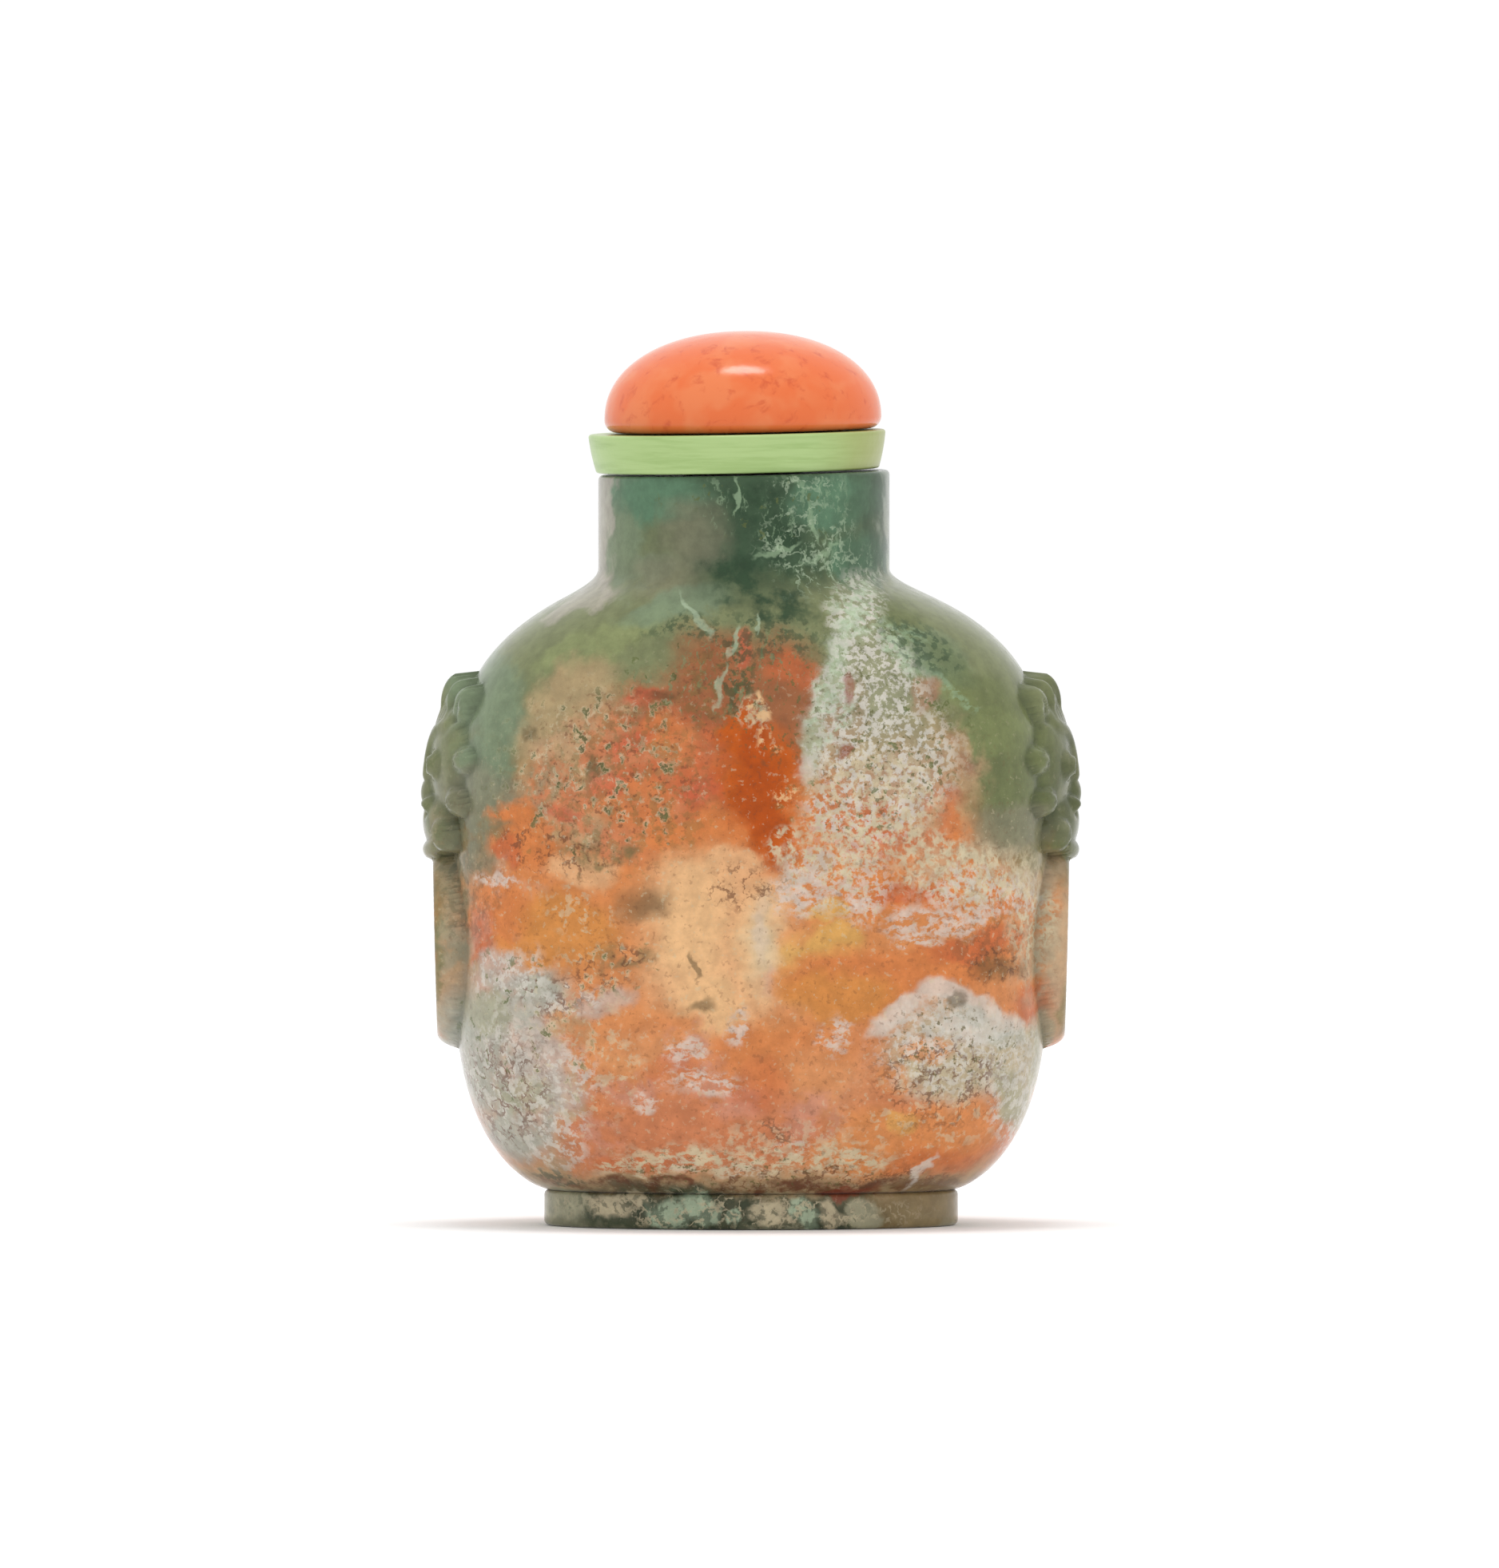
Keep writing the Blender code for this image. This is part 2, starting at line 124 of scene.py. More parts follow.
class Graph:
    """One material's nodes. Each step gives the socket that the next step reads."""

    def __init__(self, name: str) -> None:
        """Makes the material with its Principled shader and a place in millimetres."""
        self.material = bpy.data.materials.new(name)
        self.material.use_nodes = True
        self.nodes = self.material.node_tree.nodes
        self.links = self.material.node_tree.links
        self.shader = self.nodes["Principled BSDF"]
        where = self.nodes.new("ShaderNodeTexCoord").outputs["Object"]
        self.place = self.vector("MULTIPLY", where, (1 / MM, 1 / MM, 1 / MM))

    def feed(self, socket: bpy.types.NodeSocket, value: Value) -> None:
        """Links a socket to another one, or sets it to a plain value."""
        if isinstance(value, bpy.types.NodeSocket):
            self.links.new(value, socket)
        else:
            socket.default_value = value

    def add(self, kind: str, inputs: dict[str | int, Value], **settings: object) -> bpy.types.Node:
        """Adds a node.

        Args:
            kind: The node's type.
            inputs: Values or sockets by input name or number.
            **settings: The node's own properties.

        Returns:
            The node.
        """
        node = self.nodes.new(kind)
        for name, value in settings.items():
            setattr(node, name, value)
        for key, value in inputs.items():
            self.feed(node.inputs[key], value)
        return node

    def math(self, operation: str, first: Value, second: Value = 0.0) -> bpy.types.NodeSocket:
        """A Math node's result."""
        return self.add("ShaderNodeMath", {0: first, 1: second}, operation=operation).outputs[0]

    def vector(self, operation: str, *values: Value) -> bpy.types.NodeSocket:
        """A Vector Math node's vector, or its number for a length or a dot product."""
        node = self.add("ShaderNodeVectorMath", dict(enumerate(values)), operation=operation)
        return node.outputs["Value" if operation in ("LENGTH", "DOT_PRODUCT") else "Vector"]

    def noise(self, where: Value, scale: float, detail: float = 2.0, rough: float = 0.5,
              colour: bool = False) -> bpy.types.NodeSocket:
        """Fractal noise, as a number or as three numbers in a colour."""
        inputs = {"Vector": where, "Scale": scale, "Detail": detail, "Roughness": rough}
        node = self.add("ShaderNodeTexNoise", inputs)
        return node.outputs["Color" if colour else "Fac"]

    def cells(self, where: Value, scale: float, feature: str = "F1") -> bpy.types.NodeSocket:
        """A Voronoi pattern's distance."""
        inputs = {"Vector": where, "Scale": scale}
        return self.add("ShaderNodeTexVoronoi", inputs, feature=feature).outputs["Distance"]

    def fade(self, value: Value, start: float, end: float, low: float = 0.0,
             high: float = 1.0) -> bpy.types.NodeSocket:
        """A smooth step from low at start to high at end."""
        inputs = {"Value": value, "From Min": start, "From Max": end, "To Min": low, "To Max": high}
        node = self.add("ShaderNodeMapRange", inputs, interpolation_type="SMOOTHSTEP", clamp=False)
        return node.outputs["Result"]

    def mix(self, first: Value, second: Value, factor: Value,
            blend: str = "MIX") -> bpy.types.NodeSocket:
        """Two colours mixed by a factor."""
        inputs = {MIX_FACTOR: factor, MIX_FIRST: first, MIX_SECOND: second}
        return self.add("ShaderNodeMix", inputs, data_type="RGBA", blend_type=blend).outputs[MIX_RESULT]

    def drift(self, where: Value, scale: float, reach: float,
              detail: float = 2.0) -> bpy.types.NodeSocket:
        """The place moved about by noise, by up to about half the reach in millimetres."""
        sway = self.vector("SUBTRACT", self.noise(where, scale, detail, colour=True), (0.5, 0.5, 0.5))
        return self.vector("ADD", where, self.vector("MULTIPLY", sway, (reach, reach, reach)))

    def bump(self, height: Value, distance: float) -> None:
        """Dents the surface by a height in millimetres."""
        node = self.add("ShaderNodeBump", {"Height": height, "Distance": distance, "Strength": 1.0})
        self.feed(self.shader.inputs["Normal"], node.outputs["Normal"])

    def finish(self, colour: Value, roughness: Value, gloss: float) -> bpy.types.Material:
        """Feeds the shader and gives the material.

        Args:
            colour: The surface's colour.
            roughness: Its roughness.
            gloss: Its specular level.

        Returns:
            The finished material.
        """
        self.feed(self.shader.inputs["Base Color"], colour)
        self.feed(self.shader.inputs["Roughness"], roughness)
        self.shader.inputs["Specular IOR Level"].default_value = gloss
        return self.material


# Agate

class Hue(Enum):
    """The agate's colours, as they show under white light."""

    NECK_TEAL = "#41583f"
    TEAL = "#587a5e"
    DEEP_GREEN = "#2b442c"
    LEAF_GREEN = "#5c6636"
    DARK_OLIVE = "#4f4426"
    OLIVE_BROWN = "#86714a"
    SAGE = "#787e58"
    MOSS = "#5a603e"
    SAGE_GREY = "#a3a084"
    APPLE = "#8b9462"
    BLUE_GREEN = "#788b70"
    MINT = "#94ad8a"
    PALE_MINT = "#b2c4a6"
    GREY_BROWN = "#827e66"
    GREY_LILAC = "#bcb1a6"
    BLUE_GREY = "#a8ada0"
    TAN = "#b69a72"
    BEIGE = "#b8a88a"
    CREAM = "#cdbf9e"
    WHITE = "#d2cdc2"
    LILAC_WHITE = "#d3c2b4"
    PINK = "#c88c74"
    ROSE = "#b87864"
    PEACH = "#dca676"
    PEACH_GLOW = "#e6b884"
    YELLOW = "#d8aa5a"
    GOLD = "#cd8840"
    ORANGE = "#d07c42"
    SOFT_ORANGE = "#d2884f"
    SALMON = "#c87c52"
    RUSSET = "#985c38"
    FOOT_DARK = "#2c3824"
    RED_ORANGE = "#c26336"
    CORAL = "#cb5c40"
    BURNT = "#bc560c"
    DEEP_BURNT = "#b04a00"
    RED_BROWN = "#8e3c28"
    BROWN = "#6a4028"

    def linear(self) -> tuple[float, float, float, float]:
        """The colour as Blender's sockets take it."""
        return to_linear(self.value)


class Grain(Enum):
    """How a layer of the stone is broken up inside its clouds."""

    CLOUD = "an even cloud with a ragged edge"
    WISPS = "flecks drawn out sideways"
    FLECKS = "crisp small flecks"
    LACE = "a net of fine cells"
    THREADS = "thin winding lines"
    SPECKS = "dark specks of all shapes"
    HALOS = "pale rims round the specks"
    DUST = "very fine pale specks"
    PEPPER = "very fine dark specks"
    GRIT = "close fine grit"
    SOFT = "a soft uneven mottle"
    STRANDS = "fine upright strands"


@dataclass(frozen=True)
class Cloud:
    """An oval cloud seen on the front face, in millimetres.

    Attributes:
        across: Its middle, to the right of the foot's.
        up: Its middle, above the table.
        wide: Half its width.
        tall: Half its height.
        turn: How far its right end is turned up, in steps of 15 degrees.
        soft: The share of its radius over which it fades.
    """

    across: float
    up: float
    wide: float
    tall: float
    turn: float = 0.0
    soft: float = 0.7


@dataclass(frozen=True)
class Layer:
    """Clouds of one colour and one grain, laid over the layers before it."""

    hue: Hue
    clouds: Sequence[Cloud]
    grain: Grain = Grain.CLOUD
    strength: float = 1.0


GROUND = (
    # Height over the table in millimetres, and the colour there
    (0.0, Hue.SAGE_GREY),
    (3.4, Hue.TAN),
    (5.5, Hue.SALMON),
    (20.0, Hue.SOFT_ORANGE),
    (29.0, Hue.ORANGE),
    (37.0, Hue.SAGE),
    (44.5, Hue.SAGE),
    (46.5, Hue.NECK_TEAL),
    (56.0, Hue.NECK_TEAL),
)

SHOULDER_LAYERS = (
    Layer(Hue.SAGE, (
        Cloud(-21.6, 31.0, 2.6, 8.0), Cloud(23.4, 31.0, 2.8, 8.0), Cloud(-14.8, 40.6, 12.0, 5.4, 45),
        Cloud(-20.0, 31.5, 3.4, 6.5), Cloud(14.6, 40.6, 11.0, 4.2, -45),
        Cloud(18.8, 33.0, 4.4, 7.5, 15),
    )),
    Layer(Hue.APPLE, (
        Cloud(-9.0, 41.4, 3.4, 1.2, 30), Cloud(-13.2, 40.2, 2.0, 0.8, 30),
        Cloud(14.4, 37.6, 1.8, 1.1, -45), Cloud(17.0, 34.8, 2.6, 1.7),
    ), strength=0.6),
    Layer(Hue.BLUE_GREEN, (
        Cloud(-18.2, 36.8, 2.6, 3.2, 15), Cloud(-5.2, 43.6, 3.8, 1.1, 15),
        Cloud(12.4, 40.4, 3.4, 1.6, -30), Cloud(-18.8, 32.4, 1.6, 2.6),
    ), strength=0.7),
    Layer(Hue.LEAF_GREEN, (
        Cloud(18.2, 33.2, 2.8, 5.4, 15), Cloud(16.4, 37.2, 2.4, 2.0, -45), Cloud(17.6, 30.4, 2.6, 2.6),
        Cloud(10.4, 42.8, 2.6, 1.4, -30), Cloud(14.8, 39.0, 4.0, 1.0, -45),
    ), strength=0.5),
    Layer(Hue.GREY_BROWN, (
        Cloud(-18.8, 29.6, 3.0, 2.6), Cloud(-19.6, 26.6, 2.6, 2.4), Cloud(18.6, 28.2, 3.2, 1.7),
    ), strength=0.7),
    Layer(Hue.MOSS, (Cloud(24.0, 31.0, 3.0, 8.4),), strength=0.95),
    Layer(Hue.MOSS, (Cloud(-22.2, 30.0, 1.8, 6.0),), strength=0.3),
    Layer(Hue.TAN, (Cloud(-12.4, 37.4, 3.2, 1.9, 30), Cloud(-13.8, 34.4, 3.0, 2.4, 15)), strength=0.75),
    Layer(Hue.PINK, (Cloud(-13.2, 33.2, 2.2, 1.4), Cloud(-10.8, 35.6, 1.8, 1.0, 30)), Grain.SOFT, 0.7),
    # A pale band at the left shoulder's edge: painted reflection.
    Layer(Hue.GREY_LILAC, (Cloud(-11.8, 44.0, 2.8, 0.8, 15),), strength=0.5),
    Layer(Hue.MINT, (
        Cloud(14.2, 37.6, 0.5, 2.2, 45, 0.8), Cloud(11.2, 42.0, 1.6, 0.4, -30, 0.8),
    ), Grain.WISPS, 0.5),
)

CENTRE_LAYERS = (
    Layer(Hue.SALMON, (
        Cloud(-6.0, 33.0, 6.6, 5.0, 15), Cloud(-8.6, 29.0, 5.6, 2.8), Cloud(-12.6, 31.0, 2.8, 2.8),
        Cloud(9.6, 29.6, 4.2, 3.6, -15),
    )),
    Layer(Hue.RUSSET, (
        Cloud(-2.4, 38.4, 3.6, 3.6, -15), Cloud(2.0, 37.4, 3.0, 4.0), Cloud(-7.0, 37.0, 2.2, 1.2, 30),
    ), strength=0.95),
    Layer(Hue.RED_ORANGE, (
        Cloud(-5.0, 32.6, 5.0, 4.0, 15), Cloud(-2.0, 35.0, 3.0, 2.0), Cloud(9.0, 28.4, 4.4, 2.2),
    ), Grain.SOFT, 0.7),
    Layer(Hue.RED_ORANGE, (Cloud(2.8, 39.2, 1.5, 1.2), Cloud(-2.8, 32.6, 2.2, 3.4, -15)), strength=0.6),
    Layer(Hue.TAN, (
        Cloud(-13.4, 32.4, 3.0, 2.6), Cloud(-10.4, 35.4, 2.6, 1.4, 30), Cloud(-12.6, 28.6, 3.2, 1.6),
    ), Grain.SOFT, 0.8),
    Layer(Hue.GREY_BROWN, (Cloud(-15.4, 30.6, 2.2, 1.6),), Grain.SOFT, 0.5),
    Layer(Hue.ORANGE, (Cloud(-8.2, 30.0, 2.6, 1.4), Cloud(-5.8, 34.6, 2.0, 1.6)), strength=0.6),
    Layer(Hue.SAGE, (
        Cloud(-1.0, 40.4, 5.0, 3.0), Cloud(-0.6, 37.0, 1.8, 3.4), Cloud(-6.4, 38.4, 2.6, 1.6),
    ), Grain.STRANDS, 0.85),
    Layer(Hue.CORAL, (
        Cloud(-8.5, 33.9, 1.6, 0.7, 15), Cloud(-7.2, 37.4, 1.5, 0.6, 30), Cloud(-10.4, 31.4, 1.3, 0.8),
        Cloud(-0.6, 40.8, 0.6, 1.5), Cloud(-13.2, 29.4, 1.0, 0.6), Cloud(-3.4, 31.0, 1.6, 1.0),
    ), strength=0.5),
    Layer(Hue.ORANGE, (
        Cloud(-3.4, 27.6, 4.8, 1.8), Cloud(-16.2, 28.8, 1.8, 1.1), Cloud(-15.6, 26.6, 2.4, 1.2),
    )),
    Layer(Hue.ROSE, (
        Cloud(12.3, 37.4, 1.1, 1.3), Cloud(14.2, 32.4, 1.4, 2.6, 15), Cloud(11.2, 31.6, 2.2, 2.4),
        Cloud(6.6, 36.0, 1.6, 3.0),
    ), strength=0.5),
    Layer(Hue.TAN, (Cloud(14.4, 32.6, 1.8, 3.2, 15), Cloud(12.8, 29.2, 2.6, 2.0)), Grain.SOFT, 0.7),
    Layer(Hue.BURNT, (
        Cloud(0.8, 31.8, 3.0, 3.9, -15), Cloud(-0.8, 34.8, 1.5, 2.0), Cloud(1.2, 27.4, 1.9, 2.2),
    )),
    Layer(Hue.DEEP_BURNT, (Cloud(0.7, 30.4, 1.8, 2.8), Cloud(0.2, 33.8, 1.1, 2.0, -15)), strength=0.9),
    Layer(Hue.PEACH, (
        Cloud(-2.8, 22.8, 5.4, 3.6), Cloud(-2.0, 18.6, 5.4, 5.0), Cloud(-11.6, 25.4, 2.2, 1.2),
        Cloud(-1.6, 25.6, 2.2, 1.2),
    )),
    # The body's middle: partly the stone's own peach, partly a painted glow of light shining through
    # the hollow.
    Layer(Hue.PEACH_GLOW, (
        Cloud(-3.8, 21.2, 2.6, 4.6, 0, 1.1), Cloud(-3.2, 16.4, 2.4, 2.2, 0, 1.1),
        Cloud(0.9, 20.0, 1.6, 3.8, 0, 1.2),
    ), strength=0.85),
    Layer(Hue.YELLOW, (
        Cloud(5.8, 20.4, 1.8, 1.4), Cloud(5.0, 22.6, 1.4, 0.8), Cloud(3.6, 18.2, 1.6, 2.6),
    ), strength=0.7),
    Layer(Hue.CREAM, (Cloud(1.1, 20.0, 1.0, 3.4, 0, 1.5),), strength=0.6),
    Layer(Hue.LILAC_WHITE, (
        Cloud(0.9, 21.4, 0.4, 2.0, 0, 1.4), Cloud(1.5, 17.6, 0.4, 1.2, 0, 1.4),
    ), strength=0.4),
)

SIDE_LAYERS = (
    Layer(Hue.OLIVE_BROWN, (
        Cloud(-19.6, 26.8, 2.8, 1.8), Cloud(-21.0, 21.5, 1.2, 4.0), Cloud(-10.6, 26.6, 2.6, 0.9),
        Cloud(-9.2, 19.2, 2.8, 1.0),
    ), Grain.SOFT, 0.85),
    Layer(Hue.ORANGE, (
        Cloud(-17.8, 21.4, 2.4, 2.8), Cloud(8.0, 17.4, 6.4, 2.4), Cloud(10.8, 23.2, 2.8, 1.1),
        Cloud(14.0, 18.8, 4.4, 1.5, 15), Cloud(18.0, 23.2, 2.0, 1.2),
    )),
    Layer(Hue.GOLD, (
        Cloud(-13.0, 21.2, 3.4, 2.4), Cloud(-15.0, 19.8, 2.0, 1.4), Cloud(6.4, 16.6, 3.8, 1.8),
    ), strength=0.75),
    Layer(Hue.RED_ORANGE, (
        Cloud(11.4, 23.4, 2.4, 0.7), Cloud(15.6, 20.0, 3.4, 1.1, 15), Cloud(20.4, 15.6, 1.8, 2.2),
        Cloud(-18.8, 20.0, 1.0, 2.4), Cloud(-16.8, 26.0, 1.0, 0.9),
    ), strength=0.8),
    Layer(Hue.BEIGE, (
        Cloud(20.0, 20.6, 1.8, 4.6), Cloud(3.6, 25.8, 2.2, 1.2), Cloud(15.6, 25.6, 4.4, 2.0),
    ), Grain.SOFT, 0.6),
    Layer(Hue.BEIGE, (Cloud(22.2, 18.4, 1.5, 5.4), Cloud(20.2, 24.8, 1.6, 1.6)), strength=0.7),
    Layer(Hue.SAGE_GREY, (Cloud(-20.8, 18.2, 1.2, 6.4), Cloud(-19.0, 16.8, 1.6, 1.8)), strength=0.6),
    Layer(Hue.GREY_LILAC, (
        Cloud(-18.8, 19.4, 2.0, 3.6), Cloud(-16.4, 24.4, 2.6, 1.2),
    ), Grain.SOFT, 0.2),
    Layer(Hue.LEAF_GREEN, (
        Cloud(22.6, 14.6, 0.9, 2.6), Cloud(-21.8, 18.0, 0.7, 5.0), Cloud(20.8, 26.0, 1.8, 1.0),
    ), strength=0.5),
    Layer(Hue.DEEP_GREEN, (
        Cloud(16.6, 20.2, 3.4, 2.2), Cloud(-19.6, 23.4, 2.0, 3.0),
    ), Grain.FLECKS, 0.3),
)

LOWER_LAYERS = (
    Layer(Hue.BLUE_GREY, (
        Cloud(-18.0, 12.6, 3.6, 5.0, -15), Cloud(-16.0, 8.0, 2.6, 4.0, -30),
        Cloud(-15.6, 16.4, 3.4, 1.8, 15),
    ), strength=0.9),
    Layer(Hue.PINK, (
        Cloud(-15.2, 11.4, 2.6, 4.2), Cloud(-17.6, 17.4, 1.6, 1.4), Cloud(-13.0, 6.4, 2.0, 2.0),
    ), Grain.SOFT, 0.55),
    Layer(Hue.GREY_LILAC, (
        Cloud(-17.4, 18.2, 1.6, 1.4), Cloud(-15.0, 11.6, 1.8, 3.0), Cloud(-10.2, 16.2, 2.0, 1.0, 15),
        Cloud(-13.4, 9.6, 2.0, 1.8),
    ), strength=0.65),
    Layer(Hue.SAGE_GREY, (
        Cloud(-16.0, 9.4, 1.8, 1.2), Cloud(-18.6, 15.4, 1.4, 1.4), Cloud(-13.4, 5.6, 1.2, 1.6, -30),
    ), strength=0.7),
    Layer(Hue.TAN, (
        Cloud(-11.6, 11.8, 1.8, 1.6), Cloud(-12.6, 7.4, 1.6, 2.0), Cloud(-12.6, 14.2, 1.4, 1.6),
    ), Grain.SOFT, 0.7),
    Layer(Hue.SOFT_ORANGE, (
        Cloud(-8.0, 13.4, 3.6, 2.4), Cloud(3.0, 12.0, 4.0, 2.8), Cloud(9.4, 6.0, 5.2, 2.4),
    )),
    Layer(Hue.ORANGE, (
        Cloud(-7.4, 13.8, 3.2, 1.4), Cloud(3.8, 11.8, 3.4, 2.2), Cloud(13.6, 6.6, 3.0, 2.4),
        Cloud(-0.6, 13.0, 2.4, 1.4),
    ), strength=0.7),
    Layer(Hue.PEACH, (
        Cloud(-7.8, 13.0, 3.4, 1.8, 0, 1.2), Cloud(5.2, 10.4, 3.0, 2.2, 0, 1.2),
    ), strength=0.35),
    Layer(Hue.SALMON, (
        Cloud(-5.4, 6.6, 5.4, 2.8), Cloud(-10.4, 6.0, 3.6, 2.2), Cloud(1.0, 8.2, 4.0, 2.2),
    ), strength=0.85),
    Layer(Hue.PINK, (
        Cloud(-4.2, 13.0, 2.0, 1.8), Cloud(-10.8, 6.4, 2.4, 1.4), Cloud(-2.0, 9.6, 3.2, 1.4),
        Cloud(-8.4, 10.4, 2.4, 1.2), Cloud(4.6, 8.4, 2.2, 1.8),
    ), Grain.SOFT, 0.7),
    Layer(Hue.RED_ORANGE, (
        Cloud(0.4, 10.4, 2.2, 1.4), Cloud(12.6, 4.6, 3.4, 1.3), Cloud(-8.4, 4.4, 3.0, 0.8),
        Cloud(-6.0, 11.8, 2.0, 1.0),
    ), strength=0.45),
    Layer(Hue.BEIGE, (Cloud(14.6, 12.2, 5.0, 3.4), Cloud(18.8, 11.0, 2.2, 3.4))),
    Layer(Hue.WHITE, (
        Cloud(10.4, 15.2, 2.6, 0.8, 30), Cloud(13.4, 16.5, 1.9, 0.9), Cloud(16.6, 15.4, 2.8, 1.0, -30),
        Cloud(16.0, 14.0, 2.6, 1.0),
    ), strength=0.7),
    Layer(Hue.BLUE_GREY, (Cloud(15.4, 15.2, 1.4, 0.8, -15), Cloud(18.0, 13.4, 1.2, 0.8)), strength=0.5),
    Layer(Hue.SOFT_ORANGE, (
        Cloud(12.4, 12.6, 1.8, 1.0), Cloud(14.2, 7.0, 3.0, 1.8), Cloud(9.8, 10.6, 1.2, 1.0),
    ), strength=0.75),
    Layer(Hue.SAGE_GREY, (Cloud(19.2, 7.8, 1.2, 3.2, 30), Cloud(20.6, 12.0, 1.2, 3.0)), strength=0.8),
    Layer(Hue.YELLOW, (Cloud(10.3, 7.8, 1.0, 0.6),), strength=0.5),
)

NECK_LAYERS = (
    Layer(Hue.BLUE_GREEN, (Cloud(-8.8, 49.5, 1.6, 4.5), Cloud(-8.0, 46.2, 2.6, 1.2)), strength=0.6),
    Layer(Hue.TEAL, (
        Cloud(-6.5, 51.2, 3.2, 1.8), Cloud(6.0, 51.0, 3.0, 2.0), Cloud(7.6, 47.0, 2.0, 2.0),
    )),
    Layer(Hue.GREY_BROWN, (
        Cloud(-3.8, 48.2, 2.2, 2.6, -15, 1.1), Cloud(-5.6, 45.8, 2.6, 1.4, 0, 1.1),
    ), strength=0.6),
    Layer(Hue.DEEP_GREEN, (
        Cloud(0.2, 50.8, 2.3, 1.7), Cloud(2.0, 48.4, 2.0, 1.6), Cloud(-0.3, 46.2, 3.0, 1.3),
        Cloud(0.8, 44.2, 3.6, 1.4, -15),
    ), Grain.SOFT, 0.9),
    Layer(Hue.DEEP_GREEN, (
        Cloud(0.4, 50.0, 3.0, 3.0, 0, 1.2), Cloud(0.4, 45.4, 4.0, 1.8, 0, 1.2),
        Cloud(8.9, 49.2, 0.5, 4.5),
    ), strength=0.5),
    # Pale upright bands along both edges of the neck: painted reflection of the white room.
    Layer(Hue.GREY_LILAC, (Cloud(-10.4, 49.2, 0.8, 4.6),), strength=0.6),
    Layer(Hue.BLUE_GREY, (Cloud(9.9, 49.2, 0.7, 4.0),), strength=0.45),
    Layer(Hue.MINT, (Cloud(4.0, 49.6, 3.4, 3.8), Cloud(-1.8, 51.0, 1.6, 2.0)), Grain.STRANDS, 0.4),
    Layer(Hue.NECK_TEAL, (Cloud(7.8, 48.6, 1.4, 4.6),), strength=0.5),
    Layer(Hue.MINT, (
        Cloud(2.2, 47.5, 1.6, 0.2, 15, 0.8), Cloud(5.2, 47.4, 1.7, 0.22, 30, 0.8),
        Cloud(4.5, 49.6, 0.2, 1.6, 15, 0.8), Cloud(-1.4, 51.4, 0.14, 1.2, 0, 0.8),
    ), strength=0.6),
    Layer(Hue.PALE_MINT, (
        Cloud(4.2, 48.0, 3.2, 3.6, 30), Cloud(3.4, 52.2, 2.6, 0.6), Cloud(7.0, 45.6, 1.8, 2.2),
    ), Grain.THREADS, 0.5),
    Layer(Hue.LEAF_GREEN, (Cloud(-3.6, 51.4, 3.2, 1.2), Cloud(2.0, 50.0, 4.0, 2.4)), Grain.SPECKS, 0.7),
)

FOOT_LAYERS = (
    Layer(Hue.BROWN, (Cloud(0.0, 3.1, 15.0, 0.5, 0, 0.9),), strength=0.2),
    Layer(Hue.BROWN, (Cloud(0.0, 3.0, 16.0, 0.6, 0, 0.9),), Grain.SOFT, 0.95),
    Layer(Hue.FOOT_DARK, (Cloud(-6.2, 1.0, 9.6, 1.7), Cloud(6.4, 1.0, 3.6, 1.6)), strength=0.9),
    Layer(Hue.OLIVE_BROWN, (Cloud(12.0, 1.2, 4.4, 1.8),), strength=0.8),
    Layer(Hue.SAGE_GREY, (
        Cloud(-13.0, 1.2, 1.8, 1.1, 0, 0.6), Cloud(7.9, 1.2, 1.2, 0.9, 0, 0.6),
    ), strength=0.9),
    Layer(Hue.CREAM, (
        Cloud(-10.0, 1.3, 1.3, 0.9, 0, 0.6), Cloud(1.4, 1.1, 1.3, 0.8, 0, 0.6),
        Cloud(5.6, 1.3, 1.0, 0.8, 0, 0.6), Cloud(-8.0, 1.9, 0.8, 0.4, 0, 0.6),
    ), strength=0.8),
    Layer(Hue.PALE_MINT, (
        Cloud(-6.0, 1.2, 1.4, 0.9, 0, 0.6), Cloud(-3.8, 1.4, 1.0, 0.8, 0, 0.6),
        Cloud(-1.4, 0.8, 0.8, 0.5, 0, 0.6), Cloud(3.5, 1.1, 0.9, 0.8, 0, 0.6),
    ), strength=0.75),
    Layer(Hue.FOOT_DARK, (Cloud(-2.4, 1.1, 10.4, 1.4),), Grain.FLECKS, 0.6),
    Layer(Hue.CREAM, (Cloud(-1.0, 1.3, 12.0, 1.1),), Grain.THREADS, 0.6),
)

